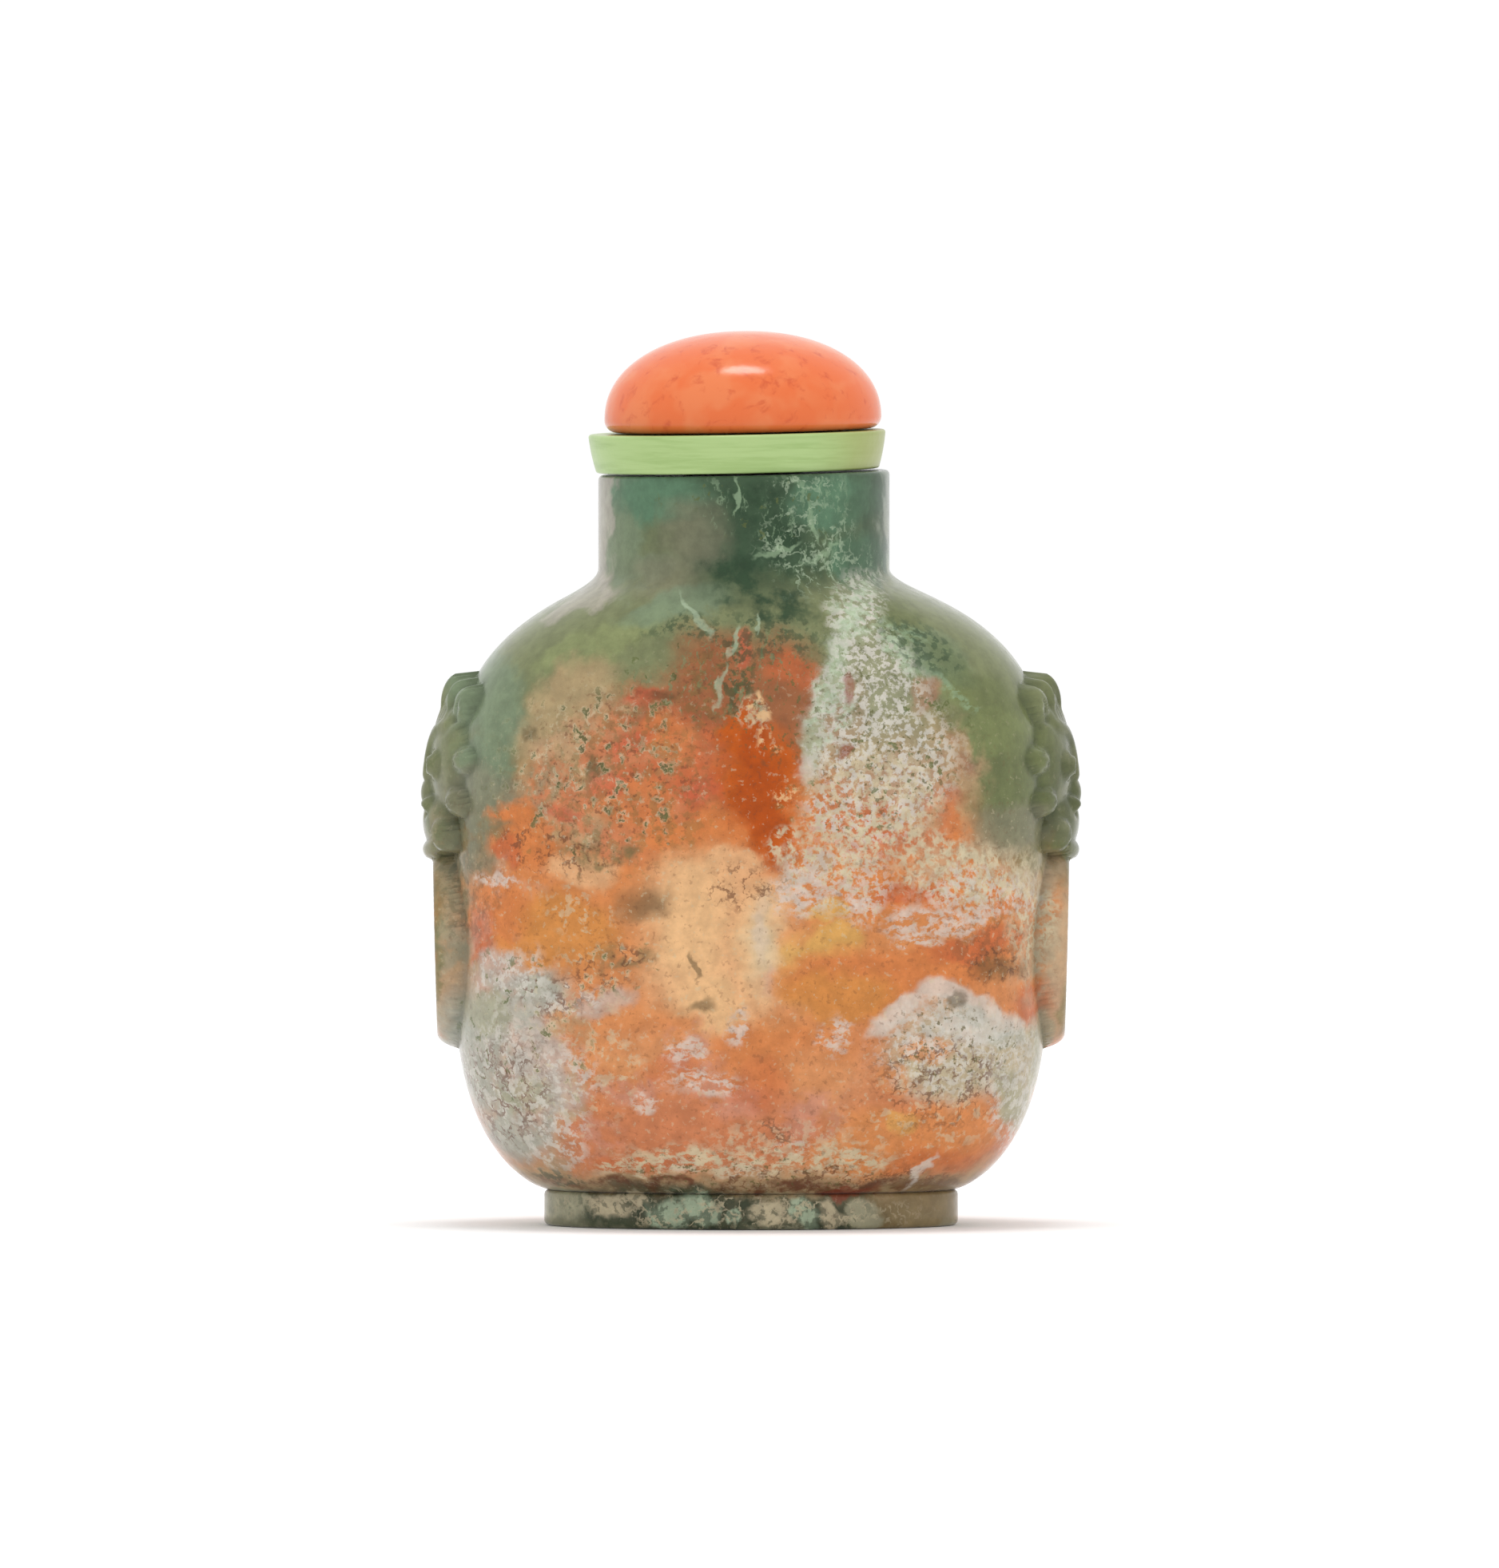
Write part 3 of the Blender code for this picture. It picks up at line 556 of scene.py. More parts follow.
VEIL_LAYERS = (
    Layer(Hue.SAGE_GREY, (
        Cloud(7.4, 42.0, 1.9, 3.2), Cloud(8.4, 37.6, 3.2, 4.0), Cloud(9.6, 33.4, 4.0, 3.6),
    ), strength=0.55),
    Layer(Hue.WHITE, (
        Cloud(7.4, 42.0, 2.2, 3.4), Cloud(8.2, 37.6, 3.8, 4.2), Cloud(9.4, 33.2, 4.8, 3.8),
        Cloud(7.8, 29.4, 3.8, 2.4),
    ), Grain.GRIT, 0.8),
    Layer(Hue.PALE_MINT, (
        Cloud(5.0, 38.8, 0.7, 3.2, -15, 1.1), Cloud(4.5, 34.4, 0.7, 3.2, 0, 1.1),
        Cloud(6.6, 42.2, 0.6, 2.0, -30, 1.1),
    ), strength=0.55),
    Layer(Hue.WHITE, (Cloud(5.4, 38.6, 1.2, 3.4, -15), Cloud(4.9, 34.2, 1.0, 3.2)), Grain.FLECKS, 0.6),
    Layer(Hue.LILAC_WHITE, (Cloud(4.1, 32.6, 0.6, 1.4, 0, 0.9),), strength=0.6),
    Layer(Hue.PALE_MINT, (
        Cloud(7.4, 43.2, 1.8, 1.8), Cloud(10.4, 40.8, 0.8, 2.4, 30, 0.9), Cloud(5.4, 37.4, 1.4, 3.2),
    ), Grain.WISPS, 0.65),
    Layer(Hue.CREAM, (
        Cloud(9.0, 31.0, 4.4, 3.0), Cloud(7.2, 28.0, 3.6, 2.2), Cloud(12.8, 26.2, 4.8, 1.5, -15),
        Cloud(15.4, 25.0, 4.6, 2.3), Cloud(0.0, 36.4, 1.4, 1.0), Cloud(2.2, 27.2, 1.6, 1.0),
        Cloud(19.8, 21.6, 1.4, 3.0),
    ), Grain.LACE, 0.8),
    Layer(Hue.WHITE, (
        Cloud(4.2, 24.8, 2.6, 2.2), Cloud(7.6, 24.2, 2.6, 2.6), Cloud(16.0, 23.6, 4.0, 2.0),
    ), Grain.GRIT, 0.55),
    Layer(Hue.CREAM, (Cloud(4.2, 24.6, 2.6, 2.2), Cloud(7.4, 24.4, 2.4, 2.4)), Grain.THREADS, 0.8),
    Layer(Hue.CREAM, (
        Cloud(3.4, 26.2, 1.8, 0.8), Cloud(6.8, 25.4, 1.1, 1.3), Cloud(14.6, 26.2, 2.8, 0.9),
        Cloud(17.6, 24.4, 1.8, 1.1), Cloud(9.6, 27.8, 2.6, 0.9),
    ), Grain.FLECKS, 0.75),
    Layer(Hue.LILAC_WHITE, (
        Cloud(12.6, 21.6, 3.0, 0.9), Cloud(15.4, 21.9, 2.2, 0.6, 15), Cloud(11.6, 20.4, 1.6, 0.6),
        Cloud(7.0, 23.4, 2.4, 0.7, -15), Cloud(3.0, 24.0, 1.6, 1.6), Cloud(-17.6, 24.2, 1.6, 0.5),
        Cloud(-0.9, 14.2, 1.0, 1.2), Cloud(5.7, 14.1, 1.1, 1.5), Cloud(2.9, 6.0, 1.0, 0.7),
        Cloud(-5.0, 4.6, 1.2, 0.6), Cloud(-0.8, 4.4, 1.8, 0.7), Cloud(-7.6, 9.2, 1.2, 0.7),
        Cloud(-3.4, 10.6, 2.2, 1.0), Cloud(-4.6, 12.6, 1.2, 1.0),
    ), Grain.WISPS, 0.8),
    Layer(Hue.WHITE, (
        Cloud(-16.8, 17.6, 2.6, 1.8), Cloud(-12.8, 16.4, 2.4, 1.2, 15), Cloud(-17.8, 11.0, 2.2, 4.2),
        Cloud(-14.0, 7.2, 2.8, 3.2), Cloud(-13.2, 11.0, 2.4, 2.0), Cloud(18.4, 8.6, 1.8, 4.0),
    ), Grain.FLECKS, 0.65),
    Layer(Hue.LILAC_WHITE, (
        Cloud(13.4, 14.0, 3.2, 1.6), Cloud(-15.4, 13.6, 2.4, 1.6),
    ), Grain.WISPS, 0.5),
    Layer(Hue.WHITE, (Cloud(14.2, 12.6, 5.2, 3.2),), Grain.GRIT, 0.65),
    Layer(Hue.CREAM, (
        Cloud(-0.6, 5.1, 8.0, 1.2), Cloud(-8.0, 4.2, 3.0, 0.8), Cloud(6.0, 5.1, 4.0, 1.1),
    ), Grain.WISPS, 0.9),
    Layer(Hue.CREAM, (Cloud(2.0, 6.8, 4.8, 1.3), Cloud(-2.4, 5.6, 2.0, 1.0)), Grain.FLECKS, 0.45),
    Layer(Hue.LEAF_GREEN, (Cloud(-0.8, 4.2, 7.4, 1.6), Cloud(5.0, 4.0, 4.0, 1.0)), Grain.PEPPER, 0.7),
    Layer(Hue.WHITE, (Cloud(12.0, 3.9, 1.4, 0.35, 45, 0.8),), strength=0.7),
    Layer(Hue.CREAM, (
        Cloud(-10.6, 32.4, 6.4, 5.2), Cloud(-10.6, 18.6, 3.0, 1.6), Cloud(-12.0, 12.0, 4.0, 5.0),
        Cloud(12.0, 8.0, 5.0, 3.0), Cloud(-12.2, 22.4, 2.6, 1.6),
    ), Grain.HALOS, 0.45),
)

SPECK_LAYERS = (
    Layer(Hue.LEAF_GREEN, (
        Cloud(-10.6, 31.6, 7.4, 6.4), Cloud(-6.2, 38.0, 3.4, 2.8), Cloud(11.0, 35.0, 4.6, 5.0),
        Cloud(-9.4, 18.8, 3.4, 2.0), Cloud(-16.0, 14.0, 4.6, 6.0), Cloud(7.0, 29.6, 4.6, 2.2),
    ), Grain.SPECKS, 0.8),
    Layer(Hue.DARK_OLIVE, (
        Cloud(-10.2, 32.0, 5.6, 5.6), Cloud(-9.4, 27.2, 4.0, 1.4), Cloud(-3.6, 39.8, 2.6, 1.6),
    ), Grain.SPECKS, 0.5),
    Layer(Hue.LEAF_GREEN, (
        Cloud(-8.8, 31.4, 6.4, 5.6), Cloud(-2.4, 38.0, 3.0, 2.8),
    ), Grain.FLECKS, 0.35),
    Layer(Hue.BROWN, (Cloud(-9.8, 32.6, 5.8, 5.2), Cloud(-3.0, 37.6, 3.0, 2.6)), Grain.PEPPER, 0.4),
    Layer(Hue.DARK_OLIVE, (
        Cloud(-7.6, 22.8, 1.8, 1.2, 0, 1.4), Cloud(-3.9, 15.8, 1.0, 0.5, 15, 1.2),
        Cloud(14.3, 16.0, 0.6, 0.8), Cloud(-3.7, 18.8, 0.2, 1.1), Cloud(-15.6, 35.0, 0.6, 0.6, 0, 1.2),
        Cloud(17.2, 18.7, 1.8, 0.7, 0, 1.2), Cloud(-11.3, 32.4, 0.5, 0.8, 0, 1.2),
        Cloud(-6.3, 37.6, 0.9, 0.5, 15, 1.2),
    ), strength=0.6),
    Layer(Hue.DEEP_GREEN, (
        Cloud(-0.8, 38.8, 1.2, 3.0), Cloud(0.4, 41.6, 4.4, 1.8), Cloud(-4.6, 42.0, 2.4, 0.9, 15),
        Cloud(-13.6, 3.4, 1.6, 0.6), Cloud(12.0, 41.0, 3.2, 1.4, -30),
    ), Grain.FLECKS, 0.6),
    Layer(Hue.SAGE_GREY, (Cloud(23.8, 31.0, 2.2, 7.4), Cloud(-22.0, 31.0, 1.4, 7.0)), Grain.SOFT, 0.2),
    Layer(Hue.LEAF_GREEN, (
        Cloud(10.0, 33.4, 4.4, 4.4), Cloud(8.2, 38.8, 3.2, 3.6), Cloud(1.6, 37.6, 3.4, 4.0),
        Cloud(14.2, 12.4, 4.8, 3.2),
    ), Grain.PEPPER, 0.7),
    Layer(Hue.BROWN, (
        Cloud(-0.4, 24.4, 2.6, 1.4), Cloud(2.2, 7.6, 1.2, 1.2), Cloud(-9.6, 18.8, 3.0, 1.4),
        Cloud(-13.4, 26.6, 4.0, 1.8), Cloud(13.2, 10.4, 4.6, 3.0), Cloud(17.2, 18.8, 2.4, 1.0),
        Cloud(4.0, 3.6, 10.0, 1.0), Cloud(-13.8, 16.6, 2.4, 1.8), Cloud(-17.0, 9.6, 3.0, 4.0),
    ), Grain.THREADS, 0.7),
    Layer(Hue.RED_BROWN, (
        Cloud(6.4, 38.3, 0.5, 1.0), Cloud(6.7, 33.8, 0.5, 0.6), Cloud(6.8, 2.7, 2.0, 0.35),
    ), strength=0.6),
    Layer(Hue.PALE_MINT, (
        Cloud(-4.0, 42.8, 0.24, 1.3, 30, 0.8), Cloud(-1.4, 41.4, 0.2, 1.2, -15, 0.8),
        Cloud(0.5, 42.4, 0.18, 0.9), Cloud(-2.2, 38.2, 0.2, 1.3, -15, 0.8),
    ), strength=0.5),
    Layer(Hue.PEACH_GLOW, (
        Cloud(2.7, 30.4, 0.9, 0.9), Cloud(1.2, 34.6, 0.7, 1.0, 30), Cloud(0.6, 36.6, 1.2, 0.8),
    ), Grain.FLECKS, 0.8),
    Layer(Hue.CREAM, (Cloud(0.0, 20.0, 23.0, 19.0),), Grain.DUST, 0.35),
    Layer(Hue.BROWN, (Cloud(0.0, 20.0, 23.0, 19.0),), Grain.PEPPER, 0.3),
)


TURNS = (-45, -30, -15, 0, 15, 30, 45)  # every turn that a cloud may have, in degrees


@dataclass(frozen=True)
class Agate:
    """Polished moss agate: warm translucent clouds with green, grey and white moss through them.

    Attributes:
        roughness: Where the polish is best.
        roughness_spread: How much rougher it is where the polish is worst.
        gloss: The specular level.
        bloom: The weight of the pale veil at grazing angles.
        bloom_roughness: Its roughness.
        bloom_tint: Its colour.
        shear_from: Where along Y the clouds start to slant.
        shear_left: How far they move to the left for each millimetre back.
        shear_down: How far they move down for each millimetre back: below zero is up.
        mottle: The darkest and the lightest shade of the fine mottle.
        pit_depth: How deep the polish's pits are, in millimetres.
        recess_shade: How much painted shade darkens the deepest carving.
    """

    roughness: float = 0.14
    roughness_spread: float = 0.1
    gloss: float = 0.22
    bloom: float = 0.14
    bloom_roughness: float = 0.3
    bloom_tint: tuple[float, float, float, float] = (0.92, 0.9, 0.96, 1.0)
    shear_from: float = -5.0
    shear_left: float = 0.22
    shear_down: float = -0.34
    mottle: tuple[float, float] = (0.76, 0.98)
    pit_depth: float = 0.02
    recess_shade: float = 0.4

    def grains(self, graph: Graph, where: Value) -> dict[Grain, Value]:
        """The patterns that break the layers up, as masks from 0 to 1.

        Args:
            graph: The material's graph.
            where: The drifted place.

        Returns:
            One mask for each grain.
        """
        close = graph.drift(where, 1.7, 0.9, 3.0)
        fine = graph.noise(where, 1.5, 4.0, 0.62)
        long = graph.noise(graph.vector("MULTIPLY", close, (0.7, 1.0, 1.5)), 1.5, 4.0, 0.6)
        net = graph.cells(close, 1.25, "DISTANCE_TO_EDGE")
        spots = graph.noise(graph.drift(where, 1.6, 0.6), 1.15, 4.0, 0.6)
        dust = graph.noise(where, 2.3, 3.0, 0.6)
        coarse = graph.noise(close, 0.75, 3.0, 0.55)
        winding = graph.math("ABSOLUTE", graph.math("SUBTRACT", coarse, 0.5))
        thin = graph.fade(winding, 0.016, 0.045, 1.0, 0.0)
        upright = graph.noise(graph.vector("MULTIPLY", close, (1.6, 1.6, 0.4)), 1.5, 4.0, 0.6)
        cell_walls = graph.fade(net, 0.06, 0.2, 1.0, 0.0)
        net_lines = graph.math("MULTIPLY", cell_walls, graph.fade(fine, 0.36, 0.56))
        return {
            Grain.CLOUD: 1.0,
            Grain.WISPS: graph.fade(long, 0.42, 0.58),
            Grain.FLECKS: graph.fade(fine, 0.47, 0.57),
            Grain.LACE: graph.math("MAXIMUM", net_lines, graph.fade(fine, 0.54, 0.64)),
            Grain.THREADS: graph.math("MULTIPLY", thin, graph.fade(fine, 0.4, 0.55)),
            Grain.SPECKS: graph.fade(spots, 0.61, 0.66),
            Grain.HALOS: graph.fade(spots, 0.54, 0.6),
            Grain.DUST: graph.fade(dust, 0.6, 0.68),
            Grain.PEPPER: graph.fade(dust, 0.33, 0.42, 1.0, 0.0),
            Grain.GRIT: graph.fade(graph.noise(where, 2.2, 4.0, 0.6), 0.46, 0.56),
            Grain.SOFT: graph.fade(graph.noise(where, 0.55, 4.0, 0.6), 0.4, 0.6),
            Grain.STRANDS: graph.fade(upright, 0.53, 0.63),
        }

    def turned(self, graph: Graph, face: Value, turn: float) -> Value:
        """The place on the face measured along axes that are turned by this many degrees."""
        cosine, sine = math.cos(math.radians(turn)), math.sin(math.radians(turn))
        return graph.add("ShaderNodeCombineXYZ", {
            "X": graph.vector("DOT_PRODUCT", face, (cosine, 0.0, sine)),
            "Z": graph.vector("DOT_PRODUCT", face, (-sine, 0.0, cosine)),
        }).outputs["Vector"]

    def all_axes(self, graph: Graph, face: Value) -> dict[float, Value]:
        """The place on the face along the axes of every turn that the clouds have."""
        return {turn: self.turned(graph, face, turn) for turn in TURNS}

    def cloud(self, graph: Graph, axes: dict[float, Value], cloud: Cloud) -> Value:
        """The mask of one cloud."""
        cosine, sine = math.cos(math.radians(cloud.turn)), math.sin(math.radians(cloud.turn))
        along = cloud.across * cosine + cloud.up * sine
        above = cloud.up * cosine - cloud.across * sine
        grow = (1 / cloud.wide, 0.0, 1 / cloud.tall)
        shift = (-along / cloud.wide, 0.0, -above / cloud.tall)
        local = graph.vector("MULTIPLY_ADD", axes[cloud.turn], grow, shift)
        radius = graph.vector("LENGTH", local)
        return graph.fade(radius, 1 - cloud.soft / 2, 1 + cloud.soft / 2, 1.0, 0.0)

    def lay(self, graph: Graph, under: Value, axes: dict[float, Value], layer: Layer,
            grains: dict[Grain, Value]) -> Value:
        """Lays one layer over the colour so far.

        Args:
            graph: The material's graph.
            under: The colour so far.
            axes: The drifted place on the front face, by the turn of its axes.
            layer: The layer.
            grains: The masks of the grains.

        Returns:
            The new colour.
        """
        region: Value = 0.0
        for cloud in layer.clouds:
            region = graph.math("MAXIMUM", self.cloud(graph, axes, cloud), region)
        shown = graph.math("MULTIPLY", region, grains[layer.grain])
        return graph.mix(under, layer.hue.linear(), graph.math("MULTIPLY", shown, layer.strength))

    def ground(self, graph: Graph, where: Value) -> Value:
        """The colour under the layers, which changes with height."""
        height = graph.add("ShaderNodeSeparateXYZ", {"Vector": where}).outputs["Z"]
        top = GROUND[-1][0]
        ramp = graph.add("ShaderNodeValToRGB", {"Fac": graph.math("DIVIDE", height, top)})
        stops = ramp.color_ramp.elements
        for level, _ in GROUND[1:-1]:
            stops.new(level / top)
        for stop, (level, hue) in zip(stops, GROUND):
            stop.color = hue.linear()
        return ramp.outputs["Color"]

    def flatten(self, graph: Graph, where: Value, share: float) -> Value:
        """The place on the front face that a point of the stone belongs to.

        Args:
            graph: The material's graph.
            where: The drifted place.
            share: How much of their slant the clouds keep as they run back through the stone.

        Returns:
            The place, with a Y of 0.
        """
        depth = graph.add("ShaderNodeSeparateXYZ", {"Vector": where}).outputs["Y"]
        behind = graph.math("MAXIMUM", graph.math("ADD", depth, -self.shear_from), 0.0)
        slant = graph.add("ShaderNodeCombineXYZ", {
            "X": graph.math("MULTIPLY", behind, self.shear_left * share),
            "Z": graph.math("MULTIPLY", behind, self.shear_down * share),
        }).outputs["Vector"]
        return graph.vector("MULTIPLY", graph.vector("ADD", where, slant), (1.0, 0.0, 1.0))

    def build(self) -> bpy.types.Material:
        """Makes the material."""
        graph = Graph("moss_agate")
        broad = graph.drift(graph.place, 0.2, 3.0, 2.0)
        where = graph.drift(broad, 0.9, 1.5, 3.0)
        face = self.flatten(graph, where, 1.0)
        plain = self.flatten(graph, where, 0.0)
        grains = self.grains(graph, graph.place)
        colour = self.ground(graph, where)
        body = self.all_axes(graph, face)
        ends = self.all_axes(graph, plain)
        for layer in (*SHOULDER_LAYERS, *CENTRE_LAYERS, *SIDE_LAYERS, *LOWER_LAYERS):
            colour = self.lay(graph, colour, body, layer, grains)
        for layer in (*NECK_LAYERS, *FOOT_LAYERS):
            colour = self.lay(graph, colour, ends, layer, grains)
        for layer in (*VEIL_LAYERS, *SPECK_LAYERS):
            colour = self.lay(graph, colour, body, layer, grains)
        mottle = graph.fade(graph.noise(graph.place, 0.9, 5.0, 0.65), 0.3, 0.7, *self.mottle)
        colour = graph.mix(colour, mottle, 1.0, "MULTIPLY")
        # Painted shade: the deepest carving is darkened towards a dark green, where shade falls in the
        # recesses.
        recess = graph.add("ShaderNodeAttribute", {}, attribute_name=RECESS).outputs["Fac"]
        colour = graph.mix(colour, Hue.FOOT_DARK.linear(), graph.math("MULTIPLY", recess, self.recess_shade))
        graph.shader.inputs["Sheen Weight"].default_value = self.bloom
        graph.shader.inputs["Sheen Roughness"].default_value = self.bloom_roughness
        graph.shader.inputs["Sheen Tint"].default_value = self.bloom_tint
        worst = self.roughness + self.roughness_spread
        rough = graph.fade(graph.noise(graph.place, 1.4, 3.0), 0.3, 0.7, self.roughness, worst)
        pits = graph.math("MULTIPLY", graph.noise(graph.place, 1.1, 3.0, 0.5), self.pit_depth)
        graph.bump(pits, MM)
        return graph.finish(colour, rough, self.gloss)


# Stopper finishes

@dataclass(frozen=True)
class GreenStone:
    """The collar's pale green stone, polished, with fine level streaks."""

    light: str = "#a6bf7e"
    dark: str = "#97b26e"
    yellow: str = "#96984f"
    roughness: float = 0.3
    gloss: float = 0.35
    dent_depth: float = 0.03

    def build(self) -> bpy.types.Material:
        """Makes the material."""
        graph = Graph("pale_green_stone")
        level = graph.vector("MULTIPLY", graph.place, (0.12, 0.12, 1.6))
        streaks = graph.noise(level, 1.3, 4.0, 0.6)
        colour = graph.mix(to_linear(self.light), to_linear(self.dark), graph.fade(streaks, 0.38, 0.66))
        where = graph.drift(graph.place, 0.3, 3.0)
        across = graph.add("ShaderNodeSeparateXYZ", {"Vector": where}).outputs["X"]
        colour = graph.mix(colour, to_linear(self.yellow), graph.fade(across, 3.5, 9.5, 0.0, 0.8))
        graph.bump(graph.math("MULTIPLY", graph.noise(graph.place, 1.2, 3.0), self.dent_depth), MM)
        return graph.finish(colour, self.roughness, self.gloss)


@dataclass(frozen=True)
class CoralStone:
    """The dome's glossy orange stone with faint red mottles."""

    main: str = "#dc6c3a"
    light: str = "#de7a4a"
    red: str = "#bf4a28"
    roughness: float = 0.17
    gloss: float = 0.28
    dent_depth: float = 0.03

    def build(self) -> bpy.types.Material:
        """Makes the material."""
        graph = Graph("orange_stone")
        where = graph.drift(graph.place, 0.5, 2.0)
        pale = graph.fade(graph.noise(where, 0.3, 2.0), 0.4, 0.65)
        colour = graph.mix(to_linear(self.main), to_linear(self.light), pale)
        mottle = graph.fade(graph.noise(where, 0.75, 5.0, 0.6), 0.53, 0.72, 0.0, 0.7)
        colour = graph.mix(colour, to_linear(self.red), mottle)
        graph.bump(graph.math("MULTIPLY", graph.noise(graph.place, 0.6, 2.0), self.dent_depth), MM)
        return graph.finish(colour, self.roughness, self.gloss)


@dataclass(frozen=True)
class CorkBark:
    """Plain cork with dark pores."""

    light: str = "#b98f5e"
    dark: str = "#7a5230"
    roughness: float = 0.85
    gloss: float = 0.2
    pore_depth: float = 0.1

    def build(self) -> bpy.types.Material:
        """Makes the material."""
        graph = Graph("cork_bark")
        pores = graph.cells(graph.drift(graph.place, 1.5, 0.6), 1.4)
        colour = graph.mix(to_linear(self.dark), to_linear(self.light), graph.fade(pores, 0.15, 0.4))
        graph.bump(graph.math("MULTIPLY", graph.fade(pores, 0.1, 0.4), self.pore_depth), MM)
        return graph.finish(colour, self.roughness, self.gloss)


# Bottle: outlines

@dataclass(frozen=True)
class Section:
    """One oval outline of the bottle.

    Attributes:
        height: Above the table.
        half_width: Along X.
        half_depth: Along Y.
        power: Its squareness: 2 is an ellipse, and more is squarer.
        sideways: Its middle, to the right of the foot's.
        slope: How far its right side is tilted up, in radians.
    """

    height: float
    half_width: float
    half_depth: float
    power: float = 2.0
    sideways: float = 0.0
    slope: float = 0.0


@dataclass(frozen=True)
class Swell:
    """How an outline falls off from the body's widest line to one end, as two exponents."""

    rise: float
    fall: float

    def left(self, share: float) -> float:
        """How much of the swell is left at this share of the way to the end."""
        return (1 - min(1.0, abs(share)) ** self.rise) ** (1 / self.fall)


@dataclass(frozen=True)
class BottleShape:
    """The bottle's outside and inside, without its handles. All sizes are in metres."""

    foot_height: float = 2.5 * MM
    body_height: float = 42.5 * MM
    neck_height: float = 7.75 * MM
    foot_width: float = 29.0 * MM
    foot_depth: float = 17.4 * MM
    body_width: float = 41.8 * MM
    body_depth: float = 27.0 * MM
    neck_diameter: float = 20.4 * MM
    neck_sideways: float = -0.5 * MM
    widest_at: float = 22.3 * MM
    edge_round: float = 0.35 * MM
    neck_fillet: float = 0.8 * MM
    lip_slope: float = math.radians(1.1)
    bore: float = 9.0 * MM
    wall_side: float = 4.0 * MM
    wall_face: float = 2.7 * MM
    floor: float = 3.6 * MM
    roof: float = 4.0 * MM
    foot_rim: float = 2.9 * MM
    foot_recess: float = 1.0 * MM
    body_power: float = 2.6
    neck_blend: int = 4
    blend_below: float = 1.3 * MM
    blend_above: float = 1.0 * MM
    width_below: Swell = Swell(4.0, 1.5)
    width_above: Swell = Swell(4.5, 1.1)
    depth_below: Swell = Swell(3.0, 1.6)
    depth_above: Swell = Swell(3.0, 1.3)
    hollow_curve: Swell = Swell(3.0, 1.8)
    handle_zone: tuple[float, float] = (11.4 * MM, 39.6 * MM)
    handle_rows: int = 148
    recess_rows: tuple[float, ...] = (0.0, 0.5, 0.97)
    foot_rows: int = 5
    low_rows: int = 34
    high_rows: int = 30
    blend_rows: int = 6
    neck_rows: int = 14
    bore_rows: int = 5
    hollow_rows: int = 25

    @property
    def shoulder(self) -> float:
        """Height of the neck's base."""
        return self.foot_height + self.body_height

    @property
    def lip(self) -> float:
        """Height of the lip over the neck's middle."""
        return self.shoulder + self.neck_height

    @property
    def widest(self) -> float:
        """Height of the body's widest line."""
        return self.foot_height + self.widest_at

    def body_section(self, height: float) -> Section:
        """The body's outline at a height."""
        if height < self.widest:
            share = (self.widest - height) / self.widest_at
            swell = self.width_below.left(share)
            end_width = self.foot_width / 2 - self.edge_round
            end_depth = self.foot_depth / 2 - self.edge_round
            half_depth = between(end_depth, self.body_depth / 2, self.depth_below.left(share))
            sideways = 0.0
        else:
            share = (height - self.widest) / (self.shoulder - self.widest)
            swell = self.width_above.left(share)
            end_width = end_depth = self.neck_diameter / 2 + self.neck_fillet / 4
            half_depth = between(end_depth, self.body_depth / 2, self.depth_above.left(share))
            sideways = self.neck_sideways * (1 - swell) ** self.neck_blend
        half_width = between(end_width, self.body_width / 2, swell)
        power = between(2.0, self.body_power, swell)
        section = Section(height, half_width, half_depth, power, sideways)
        return section if height <= self.shoulder - self.blend_below else self.blended(section)

    def blended(self, section: Section) -> Section:
        """A row near the shoulder's top, bent so that it flows into the neck's wall."""
        start, reach = self.shoulder - self.blend_below, self.blend_below + self.blend_above
        share = (section.height - start) / reach
        level = 2 * share ** 3 - 3 * share ** 2 + 1
        slant = share ** 3 - 2 * share ** 2 + share
        wall, step = self.neck_diameter / 2, 0.1 * MM
        here, under = self.body_section(start), self.body_section(start - step)
        wider = slant * reach * (here.half_width - under.half_width) / step
        deeper = slant * reach * (here.half_depth - under.half_depth) / step
        half_width = wall + level * (here.half_width - wall) + wider
        half_depth = wall + level * (here.half_depth - wall) + deeper
        sideways = between(self.neck_sideways, here.sideways, level)
        power = between(2.0, here.power, level)
        return Section(section.height, half_width, half_depth, power, sideways)

    def body_side(self, height: float) -> float:
        """X of the body's right side at a height, midway between its faces."""
        section = self.body_section(height)
        return section.sideways + section.half_width

    def underside(self) -> list[Section]:
        """The hollowed foot, from its middle out to the edge of the wall."""
        half_width, half_depth = self.foot_width / 2, self.foot_depth / 2
        inner = self.foot_rim + self.edge_round
        rows = []
        for share in self.recess_rows:
            wide, deep = share * (half_width - inner), share * (half_depth - inner)
            rows.append(Section(self.foot_recess, wide, deep))
        for sine, cosine in arc(3):
            inset = inner - self.edge_round * sine
            rows.append(Section(self.foot_recess * cosine, half_width - inset, half_depth - inset))
        rows.append(Section(0.0, half_width - self.foot_rim / 2, half_depth - self.foot_rim / 2))
        for sine, cosine in arc(4):
            inset = self.edge_round * (1 - sine)
            rows.append(Section(self.edge_round * (1 - cosine), half_width - inset, half_depth - inset))
        return rows

    def foot_wall(self) -> list[Section]:
        """The foot's wall up to the crease under the body."""
        half_width, half_depth = self.foot_width / 2, self.foot_depth / 2
        low, high = self.edge_round, self.foot_height - self.edge_round
        rows = []
        for step in range(1, self.foot_rows + 1):
            rows.append(Section(between(low, high, step / self.foot_rows), half_width, half_depth))
        for sine, cosine in list(arc(3))[1:-1]:
            inset = self.edge_round * (1 - cosine)
            rows.append(Section(high + self.edge_round * sine, half_width - inset, half_depth - inset))
        return rows

